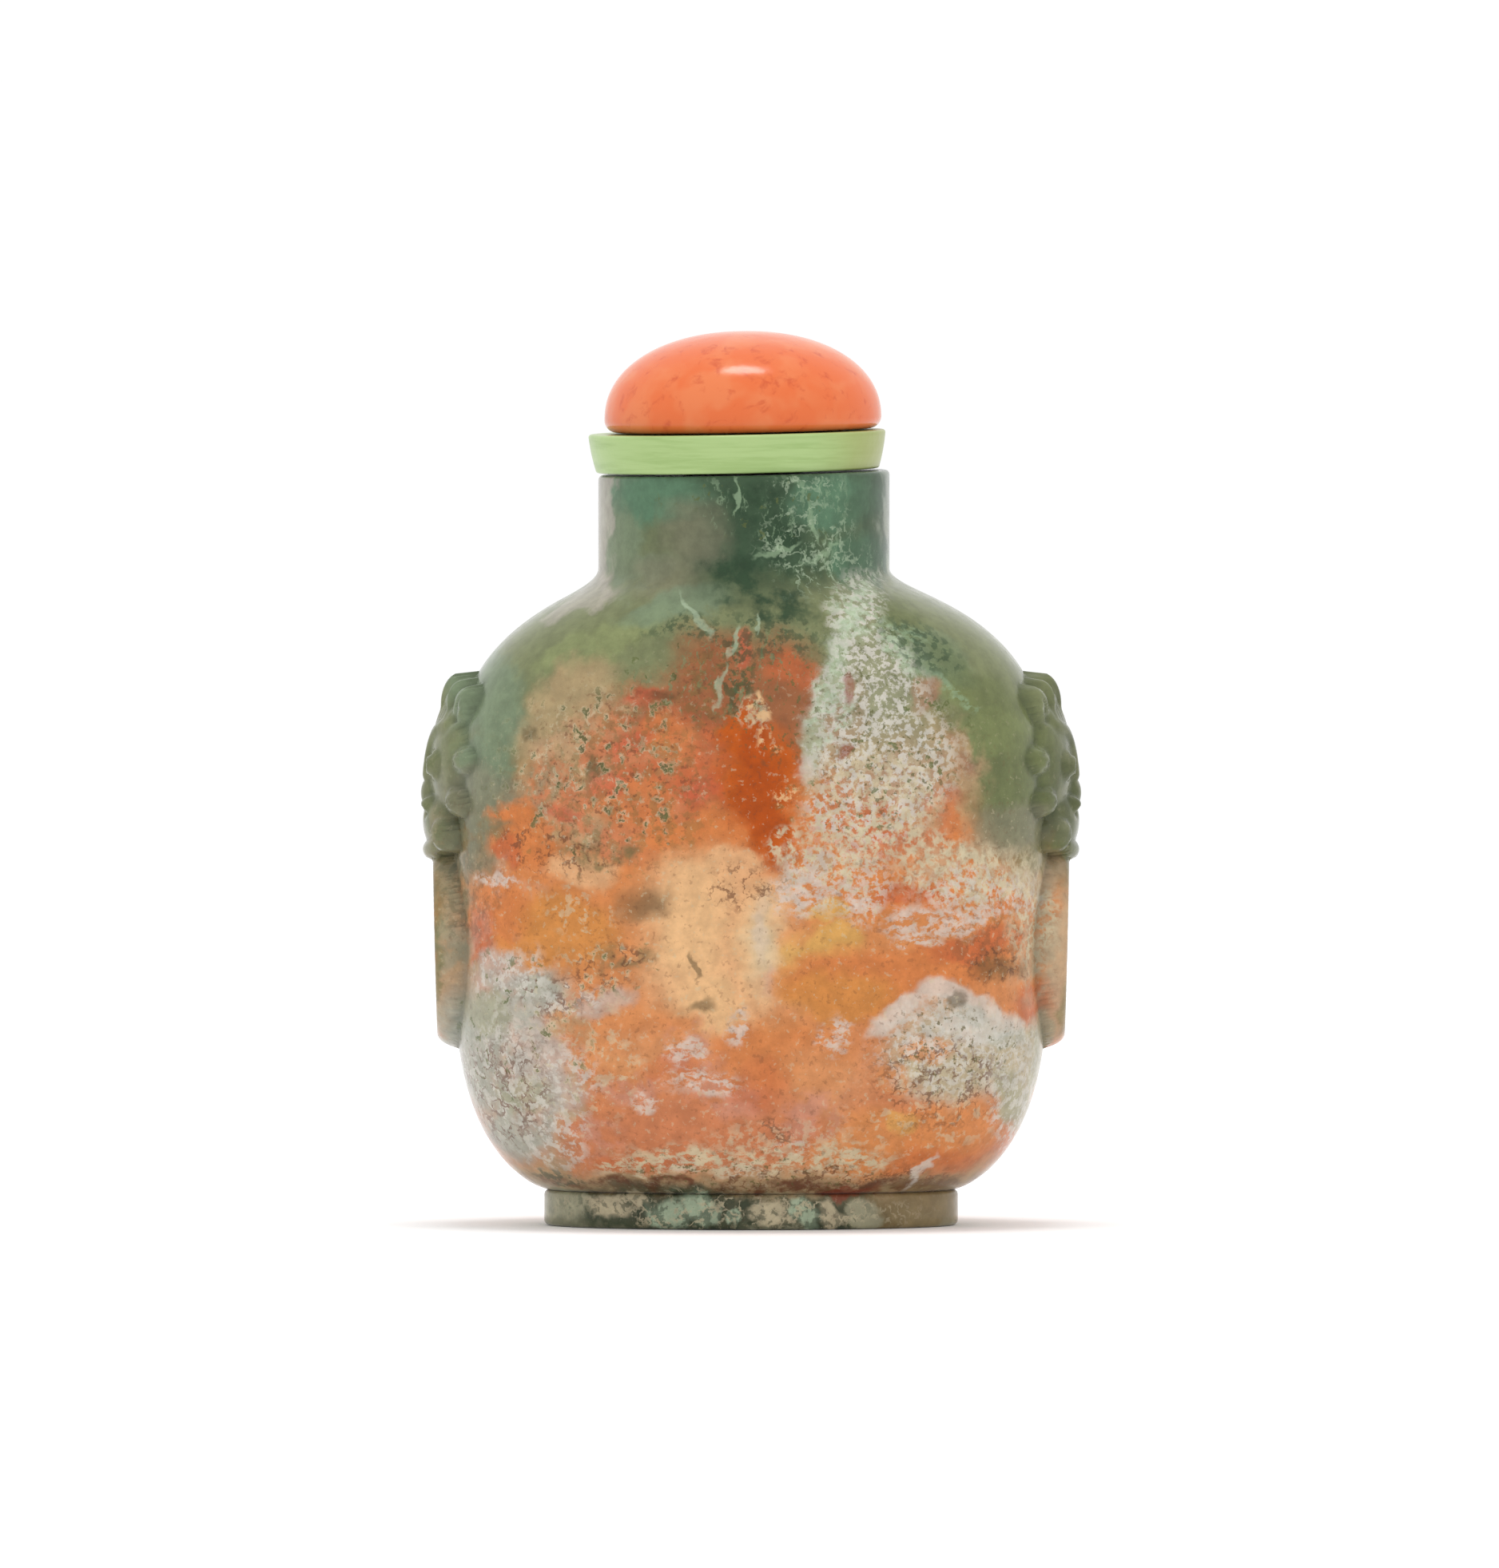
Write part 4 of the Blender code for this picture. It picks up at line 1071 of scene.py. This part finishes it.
    def body(self) -> list[Section]:
        """The body, with close rows over the handles."""
        low, high = self.handle_zone
        above = self.shoulder - self.widest
        start = math.acos((self.widest - low) / self.widest_at)
        below_angles = np.linspace(0, start, self.low_rows)
        heights = [self.widest - self.widest_at * math.cos(angle) for angle in below_angles]
        heights += list(np.linspace(low, high, self.handle_rows))[1:-1]
        end = math.asin((high - self.widest) / above)
        above_angles = np.linspace(end, math.pi / 2, self.high_rows)
        heights += [self.widest + above * math.sin(angle) for angle in above_angles]
        return [self.body_section(float(height)) for height in heights]

    def neck_section(self, height: float, radius: float, slope: float = 0.0) -> Section:
        """A round outline of the neck or its bore."""
        return Section(height, radius, radius, 2.0, self.neck_sideways, slope)

    def neck(self) -> list[Section]:
        """The neck's wall, the lip and the bore."""
        wall, bore, soft = self.neck_diameter / 2, self.bore / 2, self.edge_round
        rows = []
        low, high = self.shoulder + self.blend_above, self.lip - soft
        for height in np.linspace(self.shoulder, low, self.blend_rows + 1)[1:]:
            rows.append(self.body_section(float(height)))
        for step in range(1, self.neck_rows + 1):
            share = step / self.neck_rows
            rows.append(self.neck_section(between(low, high, share), wall, self.lip_slope * share))
        for sine, cosine in list(arc(4))[1:]:
            radius = wall - soft * (1 - cosine)
            rows.append(self.neck_section(self.lip - soft * (1 - sine), radius, self.lip_slope))
        rows.append(self.neck_section(self.lip, (wall + bore) / 2, self.lip_slope))
        for sine, cosine in arc(3):
            radius = bore + soft * (1 - sine)
            rows.append(self.neck_section(self.lip - soft * (1 - cosine), radius, self.lip_slope))
        for step in range(1, self.bore_rows + 1):
            share = step / self.bore_rows
            height = between(self.lip - soft, self.shoulder - self.roof, share)
            rows.append(self.neck_section(height, bore, self.lip_slope * (1 - share)))
        return rows

    def hollow(self) -> list[Section]:
        """The hollow, from under the neck to the middle of its floor."""
        top, bottom = self.shoulder - self.roof, self.foot_height + self.floor
        middle, half_height = (top + bottom) / 2, (top - bottom) / 2
        rows = []
        for angle in np.linspace(0, math.pi, self.hollow_rows)[1:]:
            share = math.cos(angle)
            swell = self.hollow_curve.left(share)
            half_width = between(self.bore / 2, self.body_width / 2 - self.wall_side, swell)
            half_depth = between(self.bore / 2, self.body_depth / 2 - self.wall_face, swell)
            power = between(2.0, self.body_power, swell)
            sideways = self.neck_sideways * max(0.0, share)
            rows.append(Section(middle + half_height * share, half_width, half_depth, power, sideways))
        rows.append(Section(bottom, 0.0, 0.0))
        return rows

    def sections(self) -> list[Section]:
        """Every outline from the middle of the underside, up the outside and down the inside."""
        return self.underside() + self.foot_wall() + self.body() + self.neck() + self.hollow()


# Bottle: handles

@dataclass(frozen=True)
class Knob:
    """A round form of the mask. All its sizes are shares of the mask's own.

    Attributes:
        across: Its middle, towards the right hand.
        up: Its middle, above the mask's.
        wide: Half its width.
        tall: Half its height.
        stand: How far its top stands out of the face.
        thick: Half its thickness.
        lean: How far it leans about X, in radians.
    """

    across: float
    up: float
    wide: float
    tall: float
    stand: float = 0.1
    thick: float = 0.6
    lean: float = 0.0

    def mirrored(self) -> "Knob":
        """The same form on the other side of the face."""
        return Knob(-self.across, self.up, self.wide, self.tall, self.stand, self.thick, -self.lean)


@dataclass(frozen=True)
class Cut:
    """A soft cut into the mask's face.

    Attributes:
        across: Its middle, towards the right hand, as a share of the mask's half width.
        up: Its middle, above the mask's, as a share of the mask's half height.
        depth: How deep it goes.
        reach: How far from its middle its depth falls to about a third.
    """

    across: float
    up: float
    depth: float
    reach: float


@dataclass(frozen=True)
class Lines:
    """A band of fine combed grooves.

    Attributes:
        depth: How deep they go.
        closeness: How many there are in half a turn, or over pi half widths of the mask.
        sharpness: How narrow each groove is, as a power of its cosine.
        middle: Where along the grooves they are deepest, as a share of the mask's half size.
        spread: How far from there they fade, as such a share too.
        limit: How far the band runs to either side, in radians or in half widths.
    """

    depth: float
    closeness: float
    sharpness: int
    middle: float
    spread: float
    limit: float


@dataclass(frozen=True)
class Mask:
    """The beast mask in relief, worked out for the right side as heights over the Y and Z plane.

    A pair of numbers gives a brow's value at the nose's bridge and at its curl, or the lip's at
    its corners and in its middle. Places, reaches and tapers are shares, and `sunk` says how far
    a ridge's middle lies under the face, as a share of the relief.
    """

    body: BottleShape
    height: float = 13.4 * MM
    width: float = 12.6 * MM
    relief: float = 2.3 * MM
    drop: float = 6.2 * MM
    ridge_radius: float = 0.75 * MM
    crown_up: float = -0.4
    crown_fall: float = 0.8
    crown_curve: float = 2.2
    cheek_fall: float = 1.55
    valley: float = 0.15 * MM
    middle_knobs: tuple[Knob, ...] = (
        Knob(0.0, 0.0, 0.92, 0.96, -0.2, 1.5),
        Knob(0.0, -0.56, 0.62, 0.42, -0.04, 0.95),
        Knob(0.0, -0.27, 0.23, 0.24, 0.02),
        Knob(0.0, 0.66, 0.19, 0.33, -0.15),
    )
    side_knobs: tuple[Knob, ...] = (
        Knob(0.22, -0.40, 0.14, 0.13),
        Knob(0.40, 0.03, 0.18, 0.18, 0.22),
        Knob(0.34, 0.66, 0.15, 0.28, -0.12, 0.6, -0.3),
        Knob(0.64, 0.60, 0.19, 0.30, 0.08, 0.6, -0.6),
    )
    mane_angles: tuple[float, ...] = (4.0, -22.0, -48.0)
    mane_across: float = 0.85
    mane_up: float = 0.94
    mane_middle: float = 0.02
    mane_lean: float = 1.1
    mane_lock: tuple[float, float, float, float] = (0.24, 0.16, 0.24, 0.6)
    brow_degrees: tuple[float, float] = (205.0, -110.0)
    brow_reach: tuple[float, float] = (0.36, 0.17)
    brow_curl: float = 1.5
    brow_across: tuple[float, float] = (0.40, 0.62)
    brow_up: tuple[float, float] = (0.08, 0.16)
    brow_taper: tuple[float, float] = (1.0, 0.65)
    brow_sunk: float = 0.32
    brow_points: int = 60
    lip_corner: float = 0.62
    lip_up: float = -0.70
    lip_sag: float = 0.16
    lip_taper: tuple[float, float] = (0.6, 1.0)
    lip_sunk: float = 0.3
    lip_points: int = 70
    pupil: Cut = Cut(0.40, 0.03, 0.4 * MM, 0.3 * MM)
    eye_line: float = 0.78 * MM
    eye_line_depth: float = 0.22 * MM
    eye_line_reach: float = 0.16 * MM
    nostril: Cut = Cut(0.22, -0.46, 0.45 * MM, 0.3 * MM)
    ear: Cut = Cut(0.68, 0.58, 0.4 * MM, 0.4 * MM)
    ear_length: float = 1.2 * MM
    ear_lean: float = 0.6
    hair: Lines = Lines(0.2 * MM, 42, 8, 0.97, 0.16, 1.05)
    crest: Lines = Lines(0.18 * MM, 34, 6, 0.72, 0.2, 0.5)
    cut_from: float = 0.3 * MM

    @property
    def middle(self) -> float:
        """Height of the mask's middle."""
        return self.body.shoulder - self.drop - self.height / 2

    @property
    def base(self) -> float:
        """X of the wall behind the mask's middle."""
        return self.body.body_side(self.middle)

    def face_height(self, across: float, up: float) -> float:
        """How far the face stands out at a place, as a share of the relief."""
        share = abs(up - self.crown_up) / (1 - self.crown_up)
        crown = 1 - self.crown_fall * share ** self.crown_curve
        return crown - self.cheek_fall * across ** 2

    def knobs(self) -> list[Knob]:
        """Every round form: the middle ones, the paired ones and the mane."""
        paired = list(self.side_knobs)
        for degrees in self.mane_angles:
            angle = math.radians(degrees)
            across = self.mane_across * math.cos(angle)
            up = self.mane_middle + self.mane_up * math.sin(angle)
            paired.append(Knob(across, up, *self.mane_lock, angle * self.mane_lean))
        return list(self.middle_knobs) + paired + [knob.mirrored() for knob in paired]

    def knob_field(self, knob: Knob, y: np.ndarray, z: np.ndarray) -> np.ndarray:
        """X of a knob's outer side over each place, minus infinity beside it."""
        thick = knob.thick * self.relief
        proud = self.face_height(knob.across, knob.up) + knob.stand - knob.thick
        right = y - knob.across * self.width / 2
        above = z - self.middle - knob.up * self.height / 2
        cosine, sine = math.cos(knob.lean), math.sin(knob.lean)
        local_right = (right * cosine + above * sine) / (knob.wide * self.width / 2)
        local_up = (above * cosine - right * sine) / (knob.tall * self.height / 2)
        inside = 1 - local_right ** 2 - local_up ** 2
        rise = thick * np.sqrt(np.clip(inside, 0, None))
        return np.where(inside > 0, self.base + proud * self.relief + rise, -np.inf)

    def brow(self, hand: int) -> list[tuple[float, float, float]]:
        """A brow from the nose's bridge over the eye to a curl: across, up and share of the radius."""
        line = []
        for share in np.linspace(0, 1, self.brow_points):
            angle = math.radians(between(*self.brow_degrees, share))
            reach = between(*self.brow_reach, share ** self.brow_curl)
            across = between(*self.brow_across, share) + reach * math.cos(angle)
            up = between(*self.brow_up, share) + reach * math.sin(angle)
            line.append((hand * across, up, between(*self.brow_taper, share)))
        return line

    def upper_lip(self) -> list[tuple[float, float, float]]:
        """The lip, sagging between the corners of the mouth: across, up and share of the radius."""
        line = []
        for across in np.linspace(-self.lip_corner, self.lip_corner, self.lip_points):
            bend = 1 - (across / self.lip_corner) ** 2
            line.append((across, self.lip_up - self.lip_sag * bend, between(*self.lip_taper, bend)))
        return line

    def ridge_field(self, line: Sequence[tuple[float, float, float]], sunk: float,
                    y: np.ndarray, z: np.ndarray) -> np.ndarray:
        """X of a round ridge along a line, minus infinity beside it.

        Args:
            line: Its points as across, up and share of the full radius.
            sunk: How far its middle lies under the face, as a share of the relief.
            y: Places along Y.
            z: Places along Z.

        Returns:
            The height field.
        """
        ridge = np.full_like(y, -np.inf)
        for across, up, share in line:
            radius = self.ridge_radius * share
            centre = self.base + (self.face_height(across, up) - sunk) * self.relief
            away = (y - across * self.width / 2) ** 2 + (z - self.middle - up * self.height / 2) ** 2
            rise = np.sqrt(np.clip(radius ** 2 - away, 0, None))
            ridge = np.maximum(ridge, np.where(away < radius ** 2, centre + rise, -np.inf))
        return ridge

    def cuts(self, y: np.ndarray, z: np.ndarray) -> np.ndarray:
        """Depth of the fine carving: eyes, nostrils, ears and the hair's grooves."""
        depth = np.zeros_like(y)
        half_width, half_height = self.width / 2, self.height / 2
        above = z - self.middle
        for hand in (-1, 1):
            eye_right = y - hand * self.pupil.across * half_width
            eye = np.hypot(eye_right, above - self.pupil.up * half_height)
            depth += self.pupil.depth * np.exp(-(eye / self.pupil.reach) ** 2)
            rim = (eye - self.eye_line) / self.eye_line_reach
            depth += self.eye_line_depth * np.exp(-rim ** 2)
            nostril_right = y - hand * self.nostril.across * half_width
            nostril = np.hypot(nostril_right, above - self.nostril.up * half_height)
            depth += self.nostril.depth * np.exp(-(nostril / self.nostril.reach) ** 2)
            ear_right = y - hand * self.ear.across * half_width
            ear_up = above - self.ear.up * half_height
            cosine, sine = math.cos(self.ear_lean), math.sin(self.ear_lean)
            along = (ear_right * sine * hand + ear_up * cosine) / self.ear_length
            beside = (ear_right * cosine - ear_up * sine * hand) / self.ear.reach
            depth += self.ear.depth * np.exp(-beside ** 2 - along ** 2)
            from_middle = np.hypot(y / half_width, above / half_height)
            turn = np.arctan2(above / half_height, hand * y / half_width)
            depth += self.grooves(self.hair, turn, from_middle)
        return depth + self.grooves(self.crest, y / half_width, above / half_height)

    def grooves(self, lines: Lines, across: np.ndarray, along: np.ndarray) -> np.ndarray:
        """Depth of a band of grooves, from the places across the grooves and along them."""
        waves = np.cos(across * lines.closeness) ** lines.sharpness
        band = np.exp(-((along - lines.middle) / lines.spread) ** 2)
        return lines.depth * waves * band * (np.abs(across) < lines.limit)

    def carve(self, x: np.ndarray, y: np.ndarray, z: np.ndarray) -> np.ndarray:
        """The wall with the mask raised on it."""
        flat = x.copy()
        for knob in self.knobs():
            x = melt(x, self.knob_field(knob, y, z), self.valley)
        x = melt(x, self.ridge_field(self.upper_lip(), self.lip_sunk, y, z), self.valley)
        for hand in (-1, 1):
            x = melt(x, self.ridge_field(self.brow(hand), self.brow_sunk, y, z), self.valley)
        raised = np.clip((x - flat) / self.cut_from, 0, 1)
        return x - self.cuts(y, z) * raised


@dataclass(frozen=True)
class HangingRing:
    """The ring in the mask's mouth: an oval band sunk in the wall."""

    mask: Mask
    height: float = 14.4 * MM
    width: float = 12.0 * MM
    band: float = 2.3 * MM
    relief: float = 1.3 * MM
    deep: float = 3.6 * MM
    bite: float = 1.4 * MM
    lean: float = math.radians(1.4)
    groove: float = 0.08 * MM
    groove_share: float = 0.16

    def carve(self, x: np.ndarray, y: np.ndarray, z: np.ndarray) -> np.ndarray:
        """The wall with the ring raised on it."""
        top = self.mask.middle - self.mask.height / 2 + self.bite
        middle = top - self.height / 2
        centre = self.mask.body.body_side(middle) + self.relief - self.deep / 2
        long_radius, short_radius = (self.height - self.band) / 2, (self.width - self.band) / 2
        above = z - middle
        off = np.hypot(y * long_radius / short_radius, above) - long_radius
        share = off / (self.band / 2)
        inside = 1 - share ** 2
        rise = self.deep / 2 * np.sqrt(np.clip(inside, 0, None))
        rise -= self.groove * np.exp(-(share / self.groove_share) ** 2)
        surface = np.where(inside > 0, centre + rise + above * math.sin(self.lean), -np.inf)
        return melt(x, surface, self.mask.valley)


# Bottle

@dataclass(frozen=True)
class Bottle:
    """The agate bottle as one closed loft: carved outside, drilled inside."""

    shape: BottleShape = BottleShape()
    handle_columns: int = 86
    face_columns: int = 50
    handle_share: float = 0.62
    recess_reach: int = 4
    recess_depth: float = 0.2 * MM
    sharp_angle: float = math.radians(60)

    def unit_ring(self, power: float) -> np.ndarray:
        """X and Y round an outline of half width and half depth 1, first along the right handle.

        Args:
            power: The outline's squareness.

        Returns:
            One row of (x, y) for each column, the last the same as the first.
        """
        side_y = np.linspace(-self.handle_share, self.handle_share, self.handle_columns + 1)
        side_x = (1 - np.abs(side_y) ** power) ** (1 / power)
        start = math.asin(self.handle_share ** (power / 2))
        angles = np.linspace(start, math.pi - start, self.face_columns + 1)[1:-1]
        face_x = np.sign(np.cos(angles)) * np.abs(np.cos(angles)) ** (2 / power)
        face_y = np.sin(angles) ** (2 / power)
        half = np.concatenate([np.stack([side_x, side_y], 1), np.stack([face_x, face_y], 1)])
        return np.concatenate([half, -half, half[:1]])

    def raise_handles(self, points: np.ndarray) -> None:
        """Lifts the points of these rows that lie on the two handles, and marks their recesses."""
        mask = Mask(self.shape)
        count = self.handle_columns + 1
        half = (points.shape[1] - 1) // 2
        for start, hand in ((0, 1), (half, -1)):
            part = points[:, start:start + count]
            wall, y, z = hand * part[..., 0], hand * part[..., 1], part[..., 2]
            x = HangingRing(mask).carve(mask.carve(wall, y, z), y, z)
            part[..., 0] = hand * x
            part[..., 3] = self.recesses(x - wall)
        points[:, -1] = points[:, 0]

    def recesses(self, lift: np.ndarray) -> np.ndarray:
        """How deep each place lies among its neighbours, from 0 to 1.

        Args:
            lift: How far each place of the handle stands out of the wall.

        Returns:
            The share, which is 1 at the bottom of a full groove.
        """
        around = np.zeros_like(lift)
        for shift in range(-self.recess_reach, self.recess_reach + 1):
            around += np.roll(lift, shift, 0) + np.roll(lift, shift, 1)
        around /= 2 * (2 * self.recess_reach + 1)
        return np.clip((around - lift) / self.recess_depth, 0, 1)

    def points(self) -> np.ndarray:
        """Every point of the loft by row and column, each with its recess after its place."""
        low, high = self.shape.handle_zone
        sections = self.shape.sections()
        rows = []
        for section in sections:
            unit = self.unit_ring(section.power)
            x = section.half_width * unit[:, 0]
            y = section.half_depth * unit[:, 1]
            z = section.height + x * math.tan(section.slope)
            rows.append(np.stack([section.sideways + x, y, z, np.zeros_like(x)], 1))
        points = np.stack(rows)
        outside = sections[:len(sections) - len(self.shape.hollow())]
        carved = [number for number, section in enumerate(outside) if low <= section.height <= high]
        self.raise_handles(points[carved[0]:carved[-1] + 1])
        return points

    def mesh(self) -> bmesh.types.BMesh:
        """A flat grid wrapped round the bottle and closed at its poles."""
        points = self.points()
        rows, columns = points.shape[0] - 1, points.shape[1] - 1
        bm = bmesh.new()
        bmesh.ops.create_grid(bm, x_segments=columns, y_segments=rows, size=1.0)
        recess = bm.verts.layers.float.new(RECESS)
        for vert in bm.verts:
            column = round((vert.co.x + 1) / 2 * columns)
            row = round((vert.co.y + 1) / 2 * rows)
            vert.co = points[row, column, :3]
            vert[recess] = points[row, column, 3]
        bmesh.ops.remove_doubles(bm, verts=bm.verts, dist=WELD)
        bmesh.ops.recalc_face_normals(bm, faces=bm.faces)
        return bm

    def build(self) -> bpy.types.Object:
        """Makes the bottle and dresses it."""
        bottle = new_object("agate_bottle", self.mesh(), self.sharp_angle)
        dress(bottle, Agate().build(), "bottle")
        return bottle


# Stopper

@dataclass(frozen=True)
class Stopper:
    """Collar, dome and cork, standing on the sloping lip."""

    shape: BottleShape = BottleShape()
    steps: int = 160
    gap: float = 0.15 * MM
    seam: float = 0.1 * MM
    collar_height: float = 2.7 * MM
    collar_inset: float = 0.25 * MM
    collar_flare: float = 0.45 * MM
    collar_sideways: float = -0.44 * MM
    collar_round: float = 0.2 * MM
    collar_bulge: float = 0.62
    collar_rows: int = 10
    dome_height: float = 6.95 * MM
    dome_inset: float = 0.7 * MM
    dome_edge: float = 0.85 * MM
    dome_curve: float = 2.15
    cork_length: float = 6.4 * MM
    cork_taper: float = 0.4 * MM
    cork_clearance: float = 0.3 * MM
    cork_round: float = 0.15 * MM
    sharp_angle: float = math.radians(50)

    @property
    def place(self) -> Matrix:
        """Where the stopper's own frame stands on the lip."""
        move = Matrix.Translation((self.shape.neck_sideways, 0.0, self.shape.lip + self.gap))
        return move @ Matrix.Rotation(-self.shape.lip_slope, 4, "Y")

    @property
    def collar_radius(self) -> float:
        """Radius of the collar's top edge."""
        return self.shape.neck_diameter / 2 - self.collar_inset + self.collar_flare

    def collar_profile(self) -> list[tuple[float, float]]:
        """The collar as radius and height, from the middle of its top to that of its underside."""
        top, soft = self.collar_radius, self.collar_round
        foot = top - self.collar_flare
        profile = [(0.0, self.collar_height), (top * 0.5, self.collar_height)]
        for sine, cosine in arc(4):
            profile.append((top - soft * (1 - sine), self.collar_height - soft * (1 - cosine)))
        middle = between(foot, top, self.collar_bulge)
        for step in range(1, self.collar_rows):
            share = step / self.collar_rows
            bow = 4 * share * (1 - share) * (middle - (top + foot) / 2)
            height = between(self.collar_height - soft, soft, share)
            profile.append((between(top, foot, share) + bow, height))
        for sine, cosine in arc(4):
            profile.append((foot - soft * (1 - cosine), soft * (1 - sine)))
        return profile + [(foot * 0.5, 0.0), (0.0, 0.0)]

    def dome_profile(self) -> list[tuple[float, float]]:
        """The dome as radius and height, from its crown to the middle of its underside."""
        radius, rise = self.collar_radius - self.dome_inset, self.dome_height - self.dome_edge
        profile = []
        for sine, cosine in arc(36):
            height = self.dome_edge + rise * abs(cosine) ** (2 / self.dome_curve)
            profile.append((radius * sine ** (2 / self.dome_curve), height))
        for sine, cosine in list(arc(10))[1:]:
            profile.append((radius - self.dome_edge * (1 - cosine), self.dome_edge * (1 - sine)))
        return profile + [(radius * 0.5, 0.0), (0.0, 0.0)]

    def cork_profile(self) -> list[tuple[float, float]]:
        """The cork as radius and height, from the middle of its top to that of its lower end."""
        top = self.shape.bore / 2 - self.cork_clearance
        foot, soft = top - self.cork_taper / 2, self.cork_round
        profile = [(0.0, 0.0)]
        for sine, cosine in arc(3):
            profile.append((top - soft * (1 - sine), -soft * (1 - cosine)))
        for sine, cosine in arc(3):
            profile.append((foot - soft * (1 - cosine), -self.cork_length + soft * (1 - sine)))
        return profile + [(0.0, -self.cork_length)]

    def turned(self, name: str, profile: Sequence[tuple[float, float]],
               offset: Vector) -> bpy.types.Object:
        """Spins a profile into a closed solid and stands it in the stopper's frame.

        Args:
            name: The piece's name.
            profile: Its points as radius and height, from pole to pole.
            offset: Where its own middle lies in the stopper's frame.

        Returns:
            The piece.
        """
        bm = bmesh.new()
        verts = [bm.verts.new((radius, 0.0, height)) for radius, height in profile]
        edges = [bm.edges.new(pair) for pair in zip(verts, verts[1:])]
        bmesh.ops.spin(bm, geom=verts + edges, cent=(0, 0, 0), axis=(0, 0, 1), dvec=(0, 0, 0),
                       angle=2 * math.pi, steps=self.steps, use_merge=True)
        bmesh.ops.remove_doubles(bm, verts=bm.verts, dist=WELD)
        bmesh.ops.recalc_face_normals(bm, faces=bm.faces)
        bmesh.ops.transform(bm, matrix=self.place @ Matrix.Translation(offset), verts=bm.verts)
        return new_object(name, bm, self.sharp_angle)

    def build(self) -> list[bpy.types.Object]:
        """Makes the three pieces and dresses them."""
        aside = Vector((self.collar_sideways, 0, 0))
        collar = self.turned("green_collar", self.collar_profile(), aside)
        dress(collar, GreenStone().build(), "stopper_collar")
        above = Vector((0, 0, self.collar_height + self.seam))
        dome = self.turned("orange_dome", self.dome_profile(), above)
        dress(dome, CoralStone().build(), "stopper_dome")
        cork = self.turned("cork_plug", self.cork_profile(), Vector((0, 0, -self.seam)))
        dress(cork, CorkBark().build(), "stopper_cork")
        return [collar, dome, cork]


# Studio

@dataclass(frozen=True)
class Studio:
    """The plain pale floor, the soft light and the camera. All sizes are in metres."""

    floor_reach: float = 6.0
    floor_drop: float = 0.02 * MM
    floor_colour: tuple[float, float, float, float] = (0.97, 0.97, 0.97, 1.0)
    sky_strength: float = 1.04
    lamp_size: tuple[float, float] = (0.24, 0.14)
    lamp_height: float = 0.66
    lamp_power: float = 1.2
    lamp_diffuse: float = 0.22
    frame_height: float = 109.9 * MM
    frame_middle: tuple[float, float, float] = (-0.11 * MM, 0.0, 30.9 * MM)
    camera_distance: float = 2.5
    camera_reach: float = 20.0
    camera_rise: float = math.radians(1.9)
    sensor: float = 36.0
    sharp_angle: float = math.radians(30)

    def floor(self) -> None:
        """A wide floor a hair under the foot."""
        bm = bmesh.new()
        bmesh.ops.create_grid(bm, x_segments=2, y_segments=2, size=self.floor_reach)
        bmesh.ops.translate(bm, vec=(0, 0, -self.floor_drop), verts=bm.verts)
        floor = new_object("studio_floor", bm, self.sharp_angle)
        graph = Graph("pale_floor")
        floor.data.materials.append(graph.finish(self.floor_colour, 1.0, 0.0))

    def light(self) -> None:
        """White surroundings and one soft lamp straight above."""
        world = bpy.data.worlds.new("white_room")
        world.use_nodes = True
        sky = world.node_tree.nodes["Background"]
        sky.inputs["Color"].default_value = (1.0, 1.0, 1.0, 1.0)
        sky.inputs["Strength"].default_value = self.sky_strength
        bpy.context.scene.world = world
        lamp = bpy.data.lights.new("soft_lamp", "AREA")
        lamp.shape = "ELLIPSE"
        lamp.size, lamp.size_y = self.lamp_size
        lamp.energy = self.lamp_power
        lamp.diffuse_factor = self.lamp_diffuse
        holder = bpy.data.objects.new("soft_lamp", lamp)
        holder.location = (0.0, 0.0, self.lamp_height)
        holder.visible_camera = False
        bpy.context.scene.collection.objects.link(holder)

    def camera(self) -> None:
        """A long lens a little above the bottle's middle, looking along Y."""
        data = bpy.data.cameras.new("camera")
        data.sensor_width = self.sensor
        data.lens = self.sensor * self.camera_distance / self.frame_height
        data.clip_end = self.camera_reach
        camera = bpy.data.objects.new("camera", data)
        back = Vector((0.0, -math.cos(self.camera_rise), math.sin(self.camera_rise)))
        camera.location = Vector(self.frame_middle) + back * self.camera_distance
        camera.rotation_mode = "QUATERNION"
        camera.rotation_quaternion = (-back).to_track_quat("-Z", "Y")
        bpy.context.scene.collection.objects.link(camera)
        bpy.context.scene.camera = camera

    def build(self) -> None:
        """Makes the floor, the light and the camera."""
        self.floor()
        self.light()
        self.camera()
        bpy.context.scene.view_settings.view_transform = "Standard"


def main() -> None:
    """Builds every piece in order."""
    logging.basicConfig(level=logging.INFO, format="%(name)s: %(message)s")
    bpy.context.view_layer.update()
    Studio().build()
    LOG.info("studio ready")
    Bottle().build()
    Stopper().build()
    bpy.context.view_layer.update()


if __name__ == "__main__":
    main()
